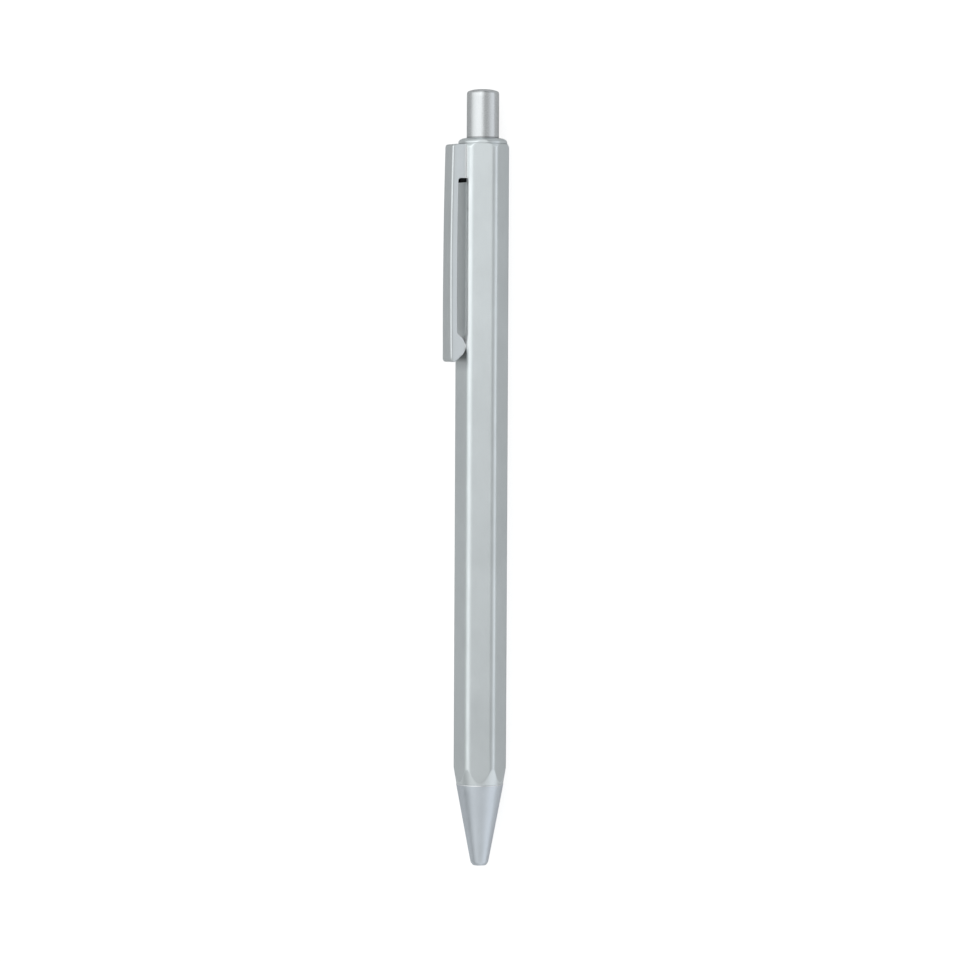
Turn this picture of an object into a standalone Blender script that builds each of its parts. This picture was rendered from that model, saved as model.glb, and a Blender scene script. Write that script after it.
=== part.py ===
"""Pushbutton ballpoint pen with a six-sided barrel, lying on one of its flats.

The pen is modelled upright on its own axis (u runs from the writing end up to
the button) and then laid down by its parent empty: the writing end points
along +X, the clip is on the -Y side, and the flat under it is at Z = 0.
"""
import math

import bmesh
import bpy
from mathutils import Matrix, Vector

# ---------------------------------------------------------------- dimensions
# All in millimetres. u is measured along the axis from the writing end.
MM = 0.001
PEN_LENGTH = 140.0
SIDES = 40                   # facets round the larger turned pieces

ACROSS_FLATS = 8.55          # hexagonal barrel
EDGE_RADIUS = 1.32           # rounding of its six long edges
BARREL_BOTTOM = 14.9
BARREL_TOP = 130.15
TOP_BORE_R = 3.8             # takes the collar and the sleeve's flange
SLEEVE_BORE_R = 3.3
REFILL_BORE_R = 3.1
FRONT_BORE_R = 3.65          # takes the thread bush
CONE_END_R = 4.24            # turned chamfer at the lower end
CONE_SLOPE = 0.176

SEAM_GAP = 0.08
NOSE_R = 4.26
NOSE_END_R = 1.70
NOSE_HOLE_R = 1.15
NOSE_THREAD_R = 3.08
NOSE_ROOT_R = 2.86
THREAD_PITCH = 1.0

COLLAR_R = 4.27              # flush with the flats
COLLAR_TOP = 131.25
BUTTON_R = 2.9
BUTTON_RIM_R = 3.12
BUTTON_HOLE_R = 2.95

CLIP_WIDTH = 3.2
CLIP_TOP = 129.96
CLIP_BOTTOM = 91.03
CLIP_WALL = 0.5
CLIP_ARM = 1.24              # depth of the arm's side walls
CLIP_HEIGHT = 3.18           # outer face above the flat, at its highest
CLIP_BOW = 5.56e-4           # how the outer face falls towards the head
CLIP_CREST = 100.0
CLIP_HEAD = 123.83           # lower end of the head, where the arm stands free
CLIP_EDGE = 0.47             # rounding along the outer face
CLIP_NOSE_U = 94.02          # where the nose meets the barrel
CLIP_NOSE_TOP = 96.7
CLIP_LIFT = 0.06             # clearance between the clip and the flat
CLIP_PIVOT_U = 129.7
CLIP_ANGLE = math.radians(210.0)   # direction of the flat that carries the clip

STEM_R = 2.05
LUG_R = 2.62
LUG_WIDTH = 1.0
RIB_INNER_R = 2.15
RIB_WIDTH = 1.5
SLOT_R = 2.75
ROTOR_REST_TURN = math.radians(-11.25)

REFILL_TIP = 1.8             # ball's lowest point, retracted
REFILL_REAR = 99.9
REFILL_R = 2.95
BALL_R = 0.5
SPRING_R = 1.98
SPRING_WIRE_R = 0.18

AXIS_HEIGHT = ACROSS_FLATS / 2.0

# ---------------------------------------------------------------- scene
for old in list(bpy.data.objects):
    bpy.data.objects.remove(old, do_unlink=True)

pen = bpy.data.collections.new("ballpoint_pen")
bpy.context.scene.collection.children.link(pen)
cutters = bpy.data.collections.new("cutters")
bpy.context.scene.collection.children.link(cutters)

axis = bpy.data.objects.new("pen_axis", None)
axis.empty_display_size = 0.02
pen.objects.link(axis)
# columns: where the upright pen's x, y and z go when it lies on its flat
axis.matrix_world = Matrix((
    (0.0, 0.0, -1.0, PEN_LENGTH / 2.0 * MM),
    (1.0, 0.0, 0.0, 0.0),
    (0.0, -1.0, 0.0, AXIS_HEIGHT * MM),
    (0.0, 0.0, 0.0, 1.0),
))


def finish(name, colour, roughness, metallic):
    m = bpy.data.materials.new(name)
    m.use_nodes = True
    shader = m.node_tree.nodes["Principled BSDF"]
    shader.inputs["Base Color"].default_value = (*colour, 1.0)
    shader.inputs["Roughness"].default_value = roughness
    shader.inputs["Metallic"].default_value = metallic
    m.diffuse_color = (*colour, 1.0)
    return m


FINISHES = {
    "hex_barrel": ((0.58, 0.62, 0.62), 0.35, 1.0),
    "nose_cone": ((0.45, 0.48, 0.52), 0.45, 1.0),
    "top_collar": ((0.58, 0.60, 0.62), 0.35, 1.0),
    "push_button": ((0.60, 0.62, 0.64), 0.35, 1.0),
    "clip": ((0.55, 0.59, 0.59), 0.35, 1.0),
    "clip_tang": ((0.50, 0.52, 0.54), 0.40, 1.0),
    "front_thread_bush": ((0.72, 0.56, 0.28), 0.35, 1.0),
    "thrust_plunger": ((0.86, 0.86, 0.84), 0.50, 0.0),
    "rotor_cam": ((0.20, 0.20, 0.21), 0.50, 0.0),
    "cam_sleeve": ((0.80, 0.80, 0.78), 0.50, 0.0),
    "return_spring": ((0.55, 0.55, 0.56), 0.30, 1.0),
    "refill_tube": ((0.70, 0.70, 0.71), 0.30, 1.0),
    "refill_front_sleeve": ((0.72, 0.57, 0.30), 0.30, 1.0),
    "refill_point": ((0.70, 0.66, 0.58), 0.25, 1.0),
    "writing_ball": ((0.60, 0.60, 0.61), 0.15, 1.0),
    "refill_ink": ((0.01, 0.02, 0.12), 0.40, 0.0),
    "refill_end_plug": ((0.10, 0.10, 0.11), 0.50, 0.0),
}


def place(obj, is_cutter=False):
    """Put an object on the pen's axis, as a piece or as a cutter."""
    obj.parent = axis
    if is_cutter:
        cutters.objects.link(obj)
        obj.hide_render = True
        obj.display_type = 'WIRE'
    else:
        pen.objects.link(obj)
        obj.data.materials.append(finish(obj.name, *FINISHES[obj.name]))
    return obj


def turned(name, profile, sides, closed=True, is_cutter=False):
    """A turned shape: (radius, u) points that run down the outer side."""
    mesh = bpy.data.meshes.new(name)
    bm = bmesh.new()
    verts = [bm.verts.new((r * MM, 0.0, u * MM)) for r, u in profile]
    count = len(verts)
    for i in range(count if closed else count - 1):
        bm.edges.new((verts[i], verts[(i + 1) % count]))
    bm.to_mesh(mesh)
    bm.free()
    obj = bpy.data.objects.new(name, mesh)
    turn = obj.modifiers.new("turn", 'SCREW')
    turn.axis = 'Z'
    turn.angle = 2.0 * math.pi
    turn.steps = turn.render_steps = sides
    turn.use_merge_vertices = True
    turn.merge_threshold = 1e-6
    turn.use_smooth_shade = True
    return place(obj, is_cutter)


def block(name, radial, width, along, angle, lean=0.0, lean_top=False):
    """A box on the pen's axis, its radial direction turned to angle.

    lean raises (or lowers) one side of the lower or upper end face."""
    mesh = bpy.data.meshes.new(name)
    bm = bmesh.new()
    size = Vector((radial[1] - radial[0], width, along[1] - along[0])) * MM
    centre = Vector((sum(radial) / 2.0, 0.0, sum(along) / 2.0)) * MM
    bmesh.ops.create_cube(
        bm, size=1.0,
        matrix=Matrix.Translation(centre) @ Matrix.Diagonal((*size, 1.0)))
    for v in bm.verts:
        upper = v.co.z > centre.z
        if lean and upper == lean_top and v.co.y > 0.0:
            v.co.z += lean * MM
    bm.to_mesh(mesh)
    bm.free()
    obj = bpy.data.objects.new(name, mesh)
    obj.rotation_euler = (0.0, 0.0, angle)
    return place(obj, True)


def vee(name, half_width, depth, tip_u, angle, upward):
    """A three-sided bar across the axis that cuts two opposite V notches."""
    mesh = bpy.data.meshes.new(name)
    bm = bmesh.new()
    over = 1.6
    bmesh.ops.create_cone(bm, cap_ends=True, segments=3, radius1=1.0,
                          radius2=1.0, depth=8.0 * MM)
    # the bar's three corners: an apex in the body, and two beyond its end
    low, apex = (tip_u - (over - 1.0) * depth, tip_u + depth)
    if not upward:
        low, apex = (tip_u + (over - 1.0) * depth, tip_u - depth)
    corners = sorted({(round(v.co.x, 4), round(v.co.y, 4)) for v in bm.verts},
                     key=lambda c: -c[1])
    spots = {corners[0]: (0.0, apex)}
    side = sorted(corners[1:], key=lambda c: c[0])
    spots[side[0]] = (-half_width * over, low)
    spots[side[1]] = (half_width * over, low)
    for v in bm.verts:
        across, u = spots[(round(v.co.x, 4), round(v.co.y, 4))]
        v.co = Vector((v.co.z, across * MM, u * MM))
    bmesh.ops.recalc_face_normals(bm, faces=bm.faces)
    bm.to_mesh(mesh)
    bm.free()
    obj = bpy.data.objects.new(name, mesh)
    obj.rotation_euler = (0.0, 0.0, angle)
    return place(obj, True)


def boolean(obj, other, operation):
    mod = obj.modifiers.new(operation.lower() + "_" + other.name, 'BOOLEAN')
    mod.operation = operation
    mod.object = other
    mod.solver = 'EXACT'


def outline_mesh(name, points, width):
    """A flat outline of (out, u) points, width thick, as a closed mesh.

    out becomes local +X, u becomes local +Z, and the thickness lies along Y."""
    curve = bpy.data.curves.new(name + "_outline", 'CURVE')
    curve.dimensions = '2D'
    curve.fill_mode = 'BOTH'
    curve.extrude = width / 2.0 * MM
    spline = curve.splines.new('POLY')
    spline.points.add(len(points) - 1)
    for p, (out, u) in zip(spline.points, points):
        p.co = (out * MM, u * MM, 0.0, 1.0)
    spline.use_cyclic_u = True
    guide = bpy.data.objects.new(name + "_outline", curve)
    cutters.objects.link(guide)
    bpy.context.view_layer.update()
    evaluated = guide.evaluated_get(bpy.context.evaluated_depsgraph_get())
    mesh = bpy.data.meshes.new_from_object(evaluated)
    bpy.data.objects.remove(guide, do_unlink=True)
    bm = bmesh.new()
    bm.from_mesh(mesh)
    bmesh.ops.remove_doubles(bm, verts=bm.verts, dist=1e-7)
    bmesh.ops.transform(bm, verts=bm.verts, matrix=Matrix((
        (1.0, 0.0, 0.0, 0.0), (0.0, 0.0, -1.0, 0.0),
        (0.0, 1.0, 0.0, 0.0), (0.0, 0.0, 0.0, 1.0))))
    bmesh.ops.recalc_face_normals(bm, faces=bm.faces)
    return bm


# ---------------------------------------------------------------- barrel
def make_barrel():
    mesh = bpy.data.meshes.new("hex_barrel")
    bm = bmesh.new()
    length = BARREL_TOP - BARREL_BOTTOM + 2.0
    corner_r = ACROSS_FLATS / math.sqrt(3.0)
    bmesh.ops.create_cone(
        bm, cap_ends=True, segments=6,
        radius1=corner_r * MM, radius2=corner_r * MM, depth=length * MM,
        matrix=Matrix.Translation((0, 0, (BARREL_TOP + BARREL_BOTTOM) / 2 * MM))
        @ Matrix.Rotation(math.radians(30.0), 4, 'Z'))
    long_edges = [e for e in bm.edges
                  if abs(e.verts[0].co.z - e.verts[1].co.z) > 0.05]
    bmesh.ops.bevel(bm, geom=long_edges, affect='EDGES', offset_type='OFFSET',
                    offset=EDGE_RADIUS * math.tan(math.radians(30.0)) * MM,
                    segments=5, profile=0.5, clamp_overlap=True)
    bm.to_mesh(mesh)
    bm.free()
    barrel = place(bpy.data.objects.new("hex_barrel", mesh))

    wide = 5.4
    envelope = turned("barrel_envelope", [
        (0.0, BARREL_TOP), (4.45, BARREL_TOP), (4.62, 129.85), (4.74, 129.3),
        (wide, 128.9), (wide, BARREL_BOTTOM + (wide - CONE_END_R) / CONE_SLOPE),
        (CONE_END_R, BARREL_BOTTOM), (0.0, BARREL_BOTTOM),
    ], 60, closed=False, is_cutter=True)
    bore = turned("barrel_bore", [
        (0.0, 131.0), (TOP_BORE_R, 131.0), (TOP_BORE_R, 122.5),
        (SLEEVE_BORE_R, 122.5), (SLEEVE_BORE_R, 100.5),
        (REFILL_BORE_R, 100.5), (REFILL_BORE_R, 23.1),
        (FRONT_BORE_R, 23.1), (FRONT_BORE_R, 13.5), (0.0, 13.5),
    ], SIDES, closed=False, is_cutter=True)
    notch = block("clip_notch", (3.0, 5.2), 1.6, (129.35, 131.5), CLIP_ANGLE)
    boolean(barrel, envelope, 'INTERSECT')
    boolean(barrel, bore, 'DIFFERENCE')
    boolean(barrel, notch, 'DIFFERENCE')


# ---------------------------------------------------------------- nose
def make_nose():
    outer = [(2.96, 22.45)]
    u = 22.2
    while u > 15.9:
        outer += [(NOSE_THREAD_R, u), (NOSE_ROOT_R, u - THREAD_PITCH / 2.0)]
        u -= THREAD_PITCH
    seat = BARREL_BOTTOM - SEAM_GAP
    outer += [(NOSE_ROOT_R, seat), (NOSE_R - 0.06, seat), (NOSE_R, seat - 0.06)]
    # the cone, then the rounded writing end
    outer += [(NOSE_END_R, 1.06)]
    round_r, steps = 0.62, 4
    for i in range(1, steps + 1):
        a = math.radians(10.5 + 76.0 * i / steps)
        outer.append((NOSE_END_R - round_r * (math.cos(math.radians(10.5)) - math.cos(a)) * 0.82,
                      1.06 - 1.06 * (math.sin(a) - math.sin(math.radians(10.5)))
                      / (math.sin(math.radians(86.5)) - math.sin(math.radians(10.5)))))
    outer[-1] = (1.24, 0.0)
    inner = [(NOSE_HOLE_R, 0.08), (NOSE_HOLE_R, 5.0), (1.65, 5.9), (1.65, 9.1),
             (2.4, 9.1), (2.4, 22.45)]
    turned("nose_cone", outer + inner, SIDES)

    turned("front_thread_bush", [
        (3.6, 23.0), (3.6, 15.15), (3.25, 15.15), (3.15, 15.25), (3.15, 22.9),
        (3.25, 23.0)], SIDES)


# ---------------------------------------------------------------- top end
def make_collar():
    profile = [(BUTTON_HOLE_R + 0.1, COLLAR_TOP), (3.72, COLLAR_TOP)]
    steps = 5
    for i in range(1, steps + 1):
        a = math.radians(90.0 * i / steps)
        profile.append((3.72 + (COLLAR_R - 3.72) * math.sin(a),
                        COLLAR_TOP - 0.75 * (1.0 - math.cos(a))))
    under = BARREL_TOP + 0.06
    profile += [(COLLAR_R, under), (3.75, under), (3.75, 126.65), (3.65, 126.55),
                (3.2, 126.55), (3.2, under), (BUTTON_HOLE_R, under),
                (BUTTON_HOLE_R, COLLAR_TOP - 0.1)]
    collar = turned("top_collar", profile, SIDES)
    relief = block("collar_relief", (3.4, 4.3), 3.2, (126.0, 130.15), CLIP_ANGLE)
    boolean(collar, relief, 'DIFFERENCE')


def make_button():
    profile = [(0.0, PEN_LENGTH), (1.3, PEN_LENGTH - 0.03), (2.4, PEN_LENGTH - 0.1)]
    steps = 4
    for i in range(1, steps + 1):
        a = math.radians(90.0 * i / steps)
        profile.append((2.4 + (BUTTON_R - 2.4) * math.sin(a),
                        PEN_LENGTH - 0.1 - 0.5 * (1.0 - math.cos(a))))
    profile += [(BUTTON_R, 130.12), (BUTTON_RIM_R, 130.12), (BUTTON_RIM_R, 129.3),
                (2.1, 129.3), (2.1, 138.85), (0.0, 138.85)]
    turned("push_button", profile, SIDES, closed=False)


# ---------------------------------------------------------------- clip
def clip_outer(u):
    """Height of the clip's outer face above the flat."""
    return CLIP_HEIGHT - CLIP_BOW * (u - CLIP_CREST) ** 2


def clip_outline():
    pts = []
    # over the head's outer corner and down the outer face
    corner = 0.3
    for i in range(4):
        a = math.radians(90.0 * (1.0 - i / 3.0))
        pts.append((clip_outer(CLIP_TOP) - corner + corner * math.cos(a),
                    CLIP_TOP - corner + corner * math.sin(a)))
    for i in range(1, 12):
        u = CLIP_TOP - corner + (CLIP_BOTTOM + 0.42 - CLIP_TOP + corner) * i / 11.0
        pts.append((clip_outer(u), u))
    pts += [(2.96, CLIP_BOTTOM + 0.14), (2.65, CLIP_BOTTOM)]
    # round the nose, from the lower end up to where it meets the barrel
    power, steps = 1.65, 7
    for i in range(1, steps + 1):
        a = math.radians(90.0 * (1.0 - i / steps))
        pts.append((2.63 - (2.63 - CLIP_LIFT) * math.cos(a) ** (2.0 / power),
                    CLIP_NOSE_U - (CLIP_NOSE_U - CLIP_BOTTOM)
                    * max(math.sin(a), 0.0) ** (2.0 / power)))
    # up the nose's back to the arm
    steps = 6
    top_out = clip_outer(CLIP_NOSE_TOP) - CLIP_ARM
    for i in range(1, steps + 1):
        t = i / steps
        pts.append((CLIP_LIFT + (top_out - CLIP_LIFT) * t * t * (3.0 - 2.0 * t),
                    CLIP_NOSE_U + (CLIP_NOSE_TOP - CLIP_NOSE_U) * t))
    # the arm's inner edge, then the head
    steps = 7
    for i in range(1, steps + 1):
        u = CLIP_NOSE_TOP + (CLIP_HEAD - 0.4 - CLIP_NOSE_TOP) * i / steps
        pts.append((clip_outer(u) - CLIP_ARM, u))
    edge = clip_outer(CLIP_HEAD) - CLIP_ARM
    pts += [(edge - 0.13, CLIP_HEAD - 0.13), (edge - 0.45, CLIP_HEAD),
            (CLIP_LIFT, CLIP_HEAD), (CLIP_LIFT, CLIP_TOP)]
    return pts


def make_clip():
    pivot = Vector((math.cos(CLIP_ANGLE), math.sin(CLIP_ANGLE), 0.0)) \
        * (ACROSS_FLATS / 2.0 * MM) + Vector((0.0, 0.0, CLIP_PIVOT_U * MM))

    def at_pivot(name, bm, is_cutter):
        bmesh.ops.translate(bm, verts=bm.verts, vec=(0, 0, -CLIP_PIVOT_U * MM))
        mesh = bpy.data.meshes.new(name)
        bm.to_mesh(mesh)
        bm.free()
        obj = bpy.data.objects.new(name, mesh)
        obj.location = pivot
        obj.rotation_euler = (0.0, 0.0, CLIP_ANGLE)
        return place(obj, is_cutter)

    bm = outline_mesh("clip", clip_outline(), CLIP_WIDTH)
    half = CLIP_WIDTH / 2.0 * MM

    def on_outer(v):
        u = v.co.z / MM
        out = v.co.x / MM
        return (abs(abs(v.co.y) - half) < 1e-7
                and out > clip_outer(min(max(u, CLIP_BOTTOM + 0.52), 129.6)) - 0.02
                and CLIP_BOTTOM + 0.22 < u < 129.72)

    rounded = [e for e in bm.edges
               if on_outer(e.verts[0]) and on_outer(e.verts[1])
               and e.verts[0].co.y * e.verts[1].co.y > 0.0]
    bmesh.ops.bevel(bm, geom=rounded, affect='EDGES', offset_type='OFFSET',
                    offset=CLIP_EDGE * MM, segments=3, profile=0.5,
                    clamp_overlap=True)
    clip = at_pivot("clip", bm, False)

    inside = [(-0.6, 129.45), (clip_outer(129.45) - CLIP_WALL, 129.45)]
    for i in range(1, 9):
        u = 129.45 + (CLIP_BOTTOM + 0.97 - 129.45) * i / 8.0
        inside.append((clip_outer(u) - CLIP_WALL, u))
    inside.append((-0.6, CLIP_BOTTOM + 0.97))
    channel = at_pivot("clip_channel",
                       outline_mesh("clip_channel", inside,
                                    CLIP_WIDTH - 2.0 * CLIP_WALL), True)
    boolean(clip, channel, 'DIFFERENCE')

    # the tongue over the barrel's edge and its hook behind the wall
    flat = ACROSS_FLATS / 2.0
    bm = outline_mesh("clip_tang", [
        (flat - 0.07, 129.95), (flat - 0.07, 129.45), (3.68, 129.45),
        (3.68, 127.2), (3.45, 127.2), (3.45, 129.95)], 1.4)
    mesh = bpy.data.meshes.new("clip_tang")
    bm.to_mesh(mesh)
    bm.free()
    tang = bpy.data.objects.new("clip_tang", mesh)
    tang.rotation_euler = (0.0, 0.0, CLIP_ANGLE)
    place(tang)


# ---------------------------------------------------------------- mechanism
def make_mechanism():
    plunger = turned("thrust_plunger", [
        (0.0, 138.7), (1.85, 138.7), (STEM_R, 138.5), (STEM_R, 129.24),
        (BUTTON_R, 129.24), (BUTTON_R, 128.55), (STEM_R, 128.55),
        (STEM_R, 112.2), (1.15, 112.2), (1.15, 126.0), (0.0, 126.0)],
        32, closed=False)
    rotor = turned("rotor_cam", [
        (0.0, 104.0), (1.15, 104.0), (1.15, 112.05), (STEM_R, 112.05),
        (STEM_R, 100.3), (1.8, 100.0), (0.0, 100.0)], 32, closed=False)
    rotor.rotation_euler = (0.0, 0.0, ROTOR_REST_TURN)
    sleeve = turned("cam_sleeve", [
        (3.75, 126.45), (3.75, 122.6), (3.25, 122.6), (3.25, 100.6),
        (SLOT_R, 100.6), (SLOT_R, 122.1), (3.2, 122.5), (3.2, 126.45)], 32)

    for k in range(4):
        a = math.radians(90.0 * k)
        boolean(plunger, block(f"plunger_lug_{k}", (1.7, LUG_R), LUG_WIDTH,
                               (113.3, 116.4), a), 'UNION')
        boolean(rotor, block(f"rotor_lug_{k}", (1.7, LUG_R), LUG_WIDTH,
                             (108.4, 110.6), a + ROTOR_REST_TURN,
                             lean=0.6, lean_top=True), 'UNION')
        boolean(sleeve, block(f"sleeve_rib_{k}", (RIB_INNER_R, 3.0), RIB_WIDTH,
                              (107.0, 121.7), a + math.radians(45.0),
                              lean=0.8), 'UNION')
    for k in range(4):
        a = math.radians(45.0 * k + 180.0 / 32.0)   # mid-facet
        boolean(plunger, vee(f"plunger_vee_{k}", 0.6, 0.7, 112.2, a, True),
                'DIFFERENCE')
        boolean(rotor, vee(f"rotor_vee_{k}", 0.6, 0.7, 112.05,
                           a + ROTOR_REST_TURN, False), 'DIFFERENCE')


def make_spring():
    curve = bpy.data.curves.new("return_spring", 'CURVE')
    curve.dimensions = '3D'
    curve.bevel_depth = SPRING_WIRE_R * MM
    curve.bevel_resolution = 2
    curve.use_fill_caps = True
    low, high = 9.1 + SPRING_WIRE_R + 0.06, 29.3 - SPRING_WIRE_R - 0.06
    per_turn, ends, middle = 10, 1.5, 8.0
    dead = 0.44                      # pitch of the closed end turns
    live = (high - low - 2.0 * ends * dead) / middle
    total = int((2.0 * ends + middle) * per_turn)
    spline = curve.splines.new('POLY')
    spline.points.add(total)
    for i, p in enumerate(spline.points):
        t = i / per_turn
        u = low + dead * min(t, ends) + live * min(max(t - ends, 0.0), middle) \
            + dead * max(t - ends - middle, 0.0)
        a = 2.0 * math.pi * t
        p.co = (SPRING_R * math.cos(a) * MM, SPRING_R * math.sin(a) * MM, u * MM, 1.0)
    spring = bpy.data.objects.new("return_spring", curve)
    place(spring)


# ---------------------------------------------------------------- refill
def make_refill():
    turned("refill_tube", [(REFILL_R, 95.95), (REFILL_R, 30.1), (2.55, 30.1),
                           (2.55, 95.95)], 32)
    turned("refill_front_sleeve", [
        (2.45, 33.0), (2.45, 30.04), (2.9, 30.04), (2.9, 29.5), (2.8, 29.3),
        (1.5, 29.3), (1.5, 12.5), (1.35, 12.15), (1.0, 12.15), (1.0, 14.2),
        (0.6, 14.2), (0.6, 33.0)], 24)

    centre = REFILL_TIP + BALL_R
    socket_r, mouth_u = 0.53, REFILL_TIP + 0.25
    point = [(0.93, 14.1), (0.93, 12.05), (1.1, 12.05), (1.1, 5.4),
             (1.02, 4.7), (0.6, 2.25), (0.545, mouth_u)]
    start = math.asin((mouth_u - centre) / socket_r)
    stop = math.acos(0.3 / socket_r)
    for i in range(5):
        a = start + (stop - start) * i / 4.0
        point.append((socket_r * math.cos(a), centre + socket_r * math.sin(a)))
    point.append((0.3, 14.1))
    turned("refill_point", point, 24)

    mesh = bpy.data.meshes.new("writing_ball")
    bm = bmesh.new()
    bmesh.ops.create_uvsphere(bm, u_segments=16, v_segments=10, radius=BALL_R * MM)
    bm.to_mesh(mesh)
    bm.free()
    mesh.shade_smooth()
    ball = bpy.data.objects.new("writing_ball", mesh)
    ball.location = (0.0, 0.0, centre * MM)
    place(ball)

    plug = turned("refill_end_plug", [
        (REFILL_R, REFILL_REAR), (REFILL_R, 96.0), (2.48, 96.0), (2.48, 92.5),
        (0.5, 92.5), (0.5, REFILL_REAR)], 32)
    for k in range(3):
        boolean(plug, vee(f"plug_vee_{k}", 0.7, 1.2, REFILL_REAR,
                          math.radians(60.0 * k + 3.0), False), 'DIFFERENCE')

    mesh = bpy.data.meshes.new("refill_ink")
    bm = bmesh.new()
    bmesh.ops.create_cone(bm, cap_ends=True, segments=32, radius1=2.44 * MM,
                          radius2=2.44 * MM, depth=(80.0 - 33.2) * MM)
    bm.to_mesh(mesh)
    bm.free()
    ink = bpy.data.objects.new("refill_ink", mesh)
    ink.location = (0.0, 0.0, (80.0 + 33.2) / 2.0 * MM)
    place(ink)


make_barrel()
make_nose()
make_collar()
make_button()
make_clip()
make_mechanism()
make_spring()
make_refill()
bpy.context.view_layer.update()
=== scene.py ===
"""Looks of a pushbutton ballpoint pen with a six-sided barrel.

Every piece is built in millimetres on the upright pen (x right, y away from
the viewer, u up the axis from the writing end) and put into the row frame by
at(): the pen lies on one flat, writing end along +X, clip on the -Y side.
"""
import math

import bmesh
import bpy
import numpy as np
from mathutils import Matrix, Vector

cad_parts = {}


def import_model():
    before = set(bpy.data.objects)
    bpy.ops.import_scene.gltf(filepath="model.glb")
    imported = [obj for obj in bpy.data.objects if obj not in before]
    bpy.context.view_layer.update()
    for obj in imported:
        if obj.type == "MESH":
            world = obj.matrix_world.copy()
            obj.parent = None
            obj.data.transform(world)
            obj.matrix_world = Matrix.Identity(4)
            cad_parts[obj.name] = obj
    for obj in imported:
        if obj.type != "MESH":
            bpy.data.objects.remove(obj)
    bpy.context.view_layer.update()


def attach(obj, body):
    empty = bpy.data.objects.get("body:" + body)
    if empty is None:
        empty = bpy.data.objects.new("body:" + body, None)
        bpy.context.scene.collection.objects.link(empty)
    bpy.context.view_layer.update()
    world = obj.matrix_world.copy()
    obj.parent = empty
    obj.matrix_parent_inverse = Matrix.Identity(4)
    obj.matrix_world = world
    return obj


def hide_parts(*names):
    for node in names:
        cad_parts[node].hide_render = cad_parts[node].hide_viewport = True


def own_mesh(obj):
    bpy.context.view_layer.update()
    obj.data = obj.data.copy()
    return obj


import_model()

# ---------------------------------------------------------------- dimensions
MM = 0.001
LENGTH = 140.0
FLATS = 8.55
EDGE_R = 1.32
AXIS_Z = FLATS / 2.0
BARREL_BOTTOM, BARREL_TOP = 14.89, 130.15
CHAMFER_R, CHAMFER_RISE, CHAMFER_BEND = 4.240, 0.176, 0.002
COLLAR_R, COLLAR_TOP = 4.40, 131.20

CLIP_ANGLE = math.radians(210.0)
CLIP_WIDTH, CLIP_WALL, CLIP_ARM, CLIP_ASIDE = 3.10, 0.5, 1.235, 0.10
CLIP_TOP, CLIP_HEAD, CLIP_LIFT, CLIP_FOOT = 129.96, 123.92, 0.015, -0.25
CLIP_EDGE = 0.38
CLIP_RISE, CLIP_PEAK, CLIP_BOW = 3.131, 103.75, 5.39e-4
POCKET_LOW, POCKET_FLOOR = 123.16, 3.93         # the barrel's pocket for the clip's foot
NOSE_U, NOSE_LOW = 93.78, 91.03

TAU = 2.0 * math.pi


def at(x, y, u):
    return Vector(((LENGTH / 2.0 - u) * MM, x * MM, (AXIS_Z - y) * MM))


# ---------------------------------------------------------------- mesh tools
def piece(name, verts, faces, material, body, node, sharp=38.0):
    """A closed mesh that rides on a body and stands for a CAD node."""
    mesh = bpy.data.meshes.new(name)
    mesh.from_pydata([tuple(v) for v in verts], [], faces)
    bm = bmesh.new()
    bm.from_mesh(mesh)
    bmesh.ops.remove_doubles(bm, verts=bm.verts, dist=2e-7)
    bmesh.ops.dissolve_degenerate(bm, edges=bm.edges, dist=1e-8)
    bmesh.ops.recalc_face_normals(bm, faces=bm.faces)
    bm.to_mesh(mesh)
    bm.free()
    obj = bpy.data.objects.new(name, mesh)
    bpy.context.scene.collection.objects.link(obj)
    return dress(obj, material, body, node, sharp)


def dress(obj, material, body, node, sharp=38.0):
    obj.data.materials.clear()
    obj.data.materials.append(material)
    obj.data.shade_smooth()
    obj.data.set_sharp_from_angle(angle=math.radians(sharp))
    even = obj.modifiers.new("even_normals", 'WEIGHTED_NORMAL')
    even.keep_sharp = True
    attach(obj, body)
    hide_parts(node)
    return obj


def skin(rings, closed):
    """Quads between rings of equal length; closed joins the last to the first."""
    n, m = len(rings[0]), len(rings)
    verts = [p for r in rings for p in r]
    faces = []
    for i in range(m if closed else m - 1):
        k = (i + 1) % m
        for j in range(n):
            q = (j + 1) % n
            faces.append((i * n + j, i * n + q, k * n + q, k * n + j))
    return verts, faces


def ring(angles, r, u):
    rr = r(angles) if callable(r) else np.full(len(angles), r)
    uu = u(angles) if callable(u) else np.full(len(angles), u)
    return [at(a * math.cos(t), a * math.sin(t), b)
            for a, t, b in zip(rr, angles, uu)]


def even_angles(sides, start=0.013):
    return np.linspace(0.0, TAU, sides, endpoint=False) + start


def rounded(corners, closed=True, steps=5):
    """(r, u, radius) corners as (r, u) points, each corner an arc."""
    out, n = [], len(corners)
    for i, (r, u, rad) in enumerate(corners):
        p = Vector((r, u))
        if rad <= 0.0 or (not closed and i in (0, n - 1)):
            out.append((r, u))
            continue
        a = Vector(corners[i - 1][:2]) - p
        b = Vector(corners[(i + 1) % n][:2]) - p
        half = a.angle(b) / 2.0
        if half > math.radians(89.0):
            out.append((r, u))
            continue
        cut = min(rad / math.tan(half), 0.49 * a.length, 0.49 * b.length)
        rad = cut * math.tan(half)
        mid = (a.normalized() + b.normalized()).normalized()
        centre = p + mid * (rad / math.sin(half))
        start, stop = p + a.normalized() * cut - centre, p + b.normalized() * cut - centre
        turn = start.angle_signed(stop)
        for k in range(steps + 1):
            t = -turn * k / steps
            c, s = math.cos(t), math.sin(t)
            out.append((centre.x + c * start.x - s * start.y,
                        centre.y + s * start.x + c * start.y))
    return out


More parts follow.
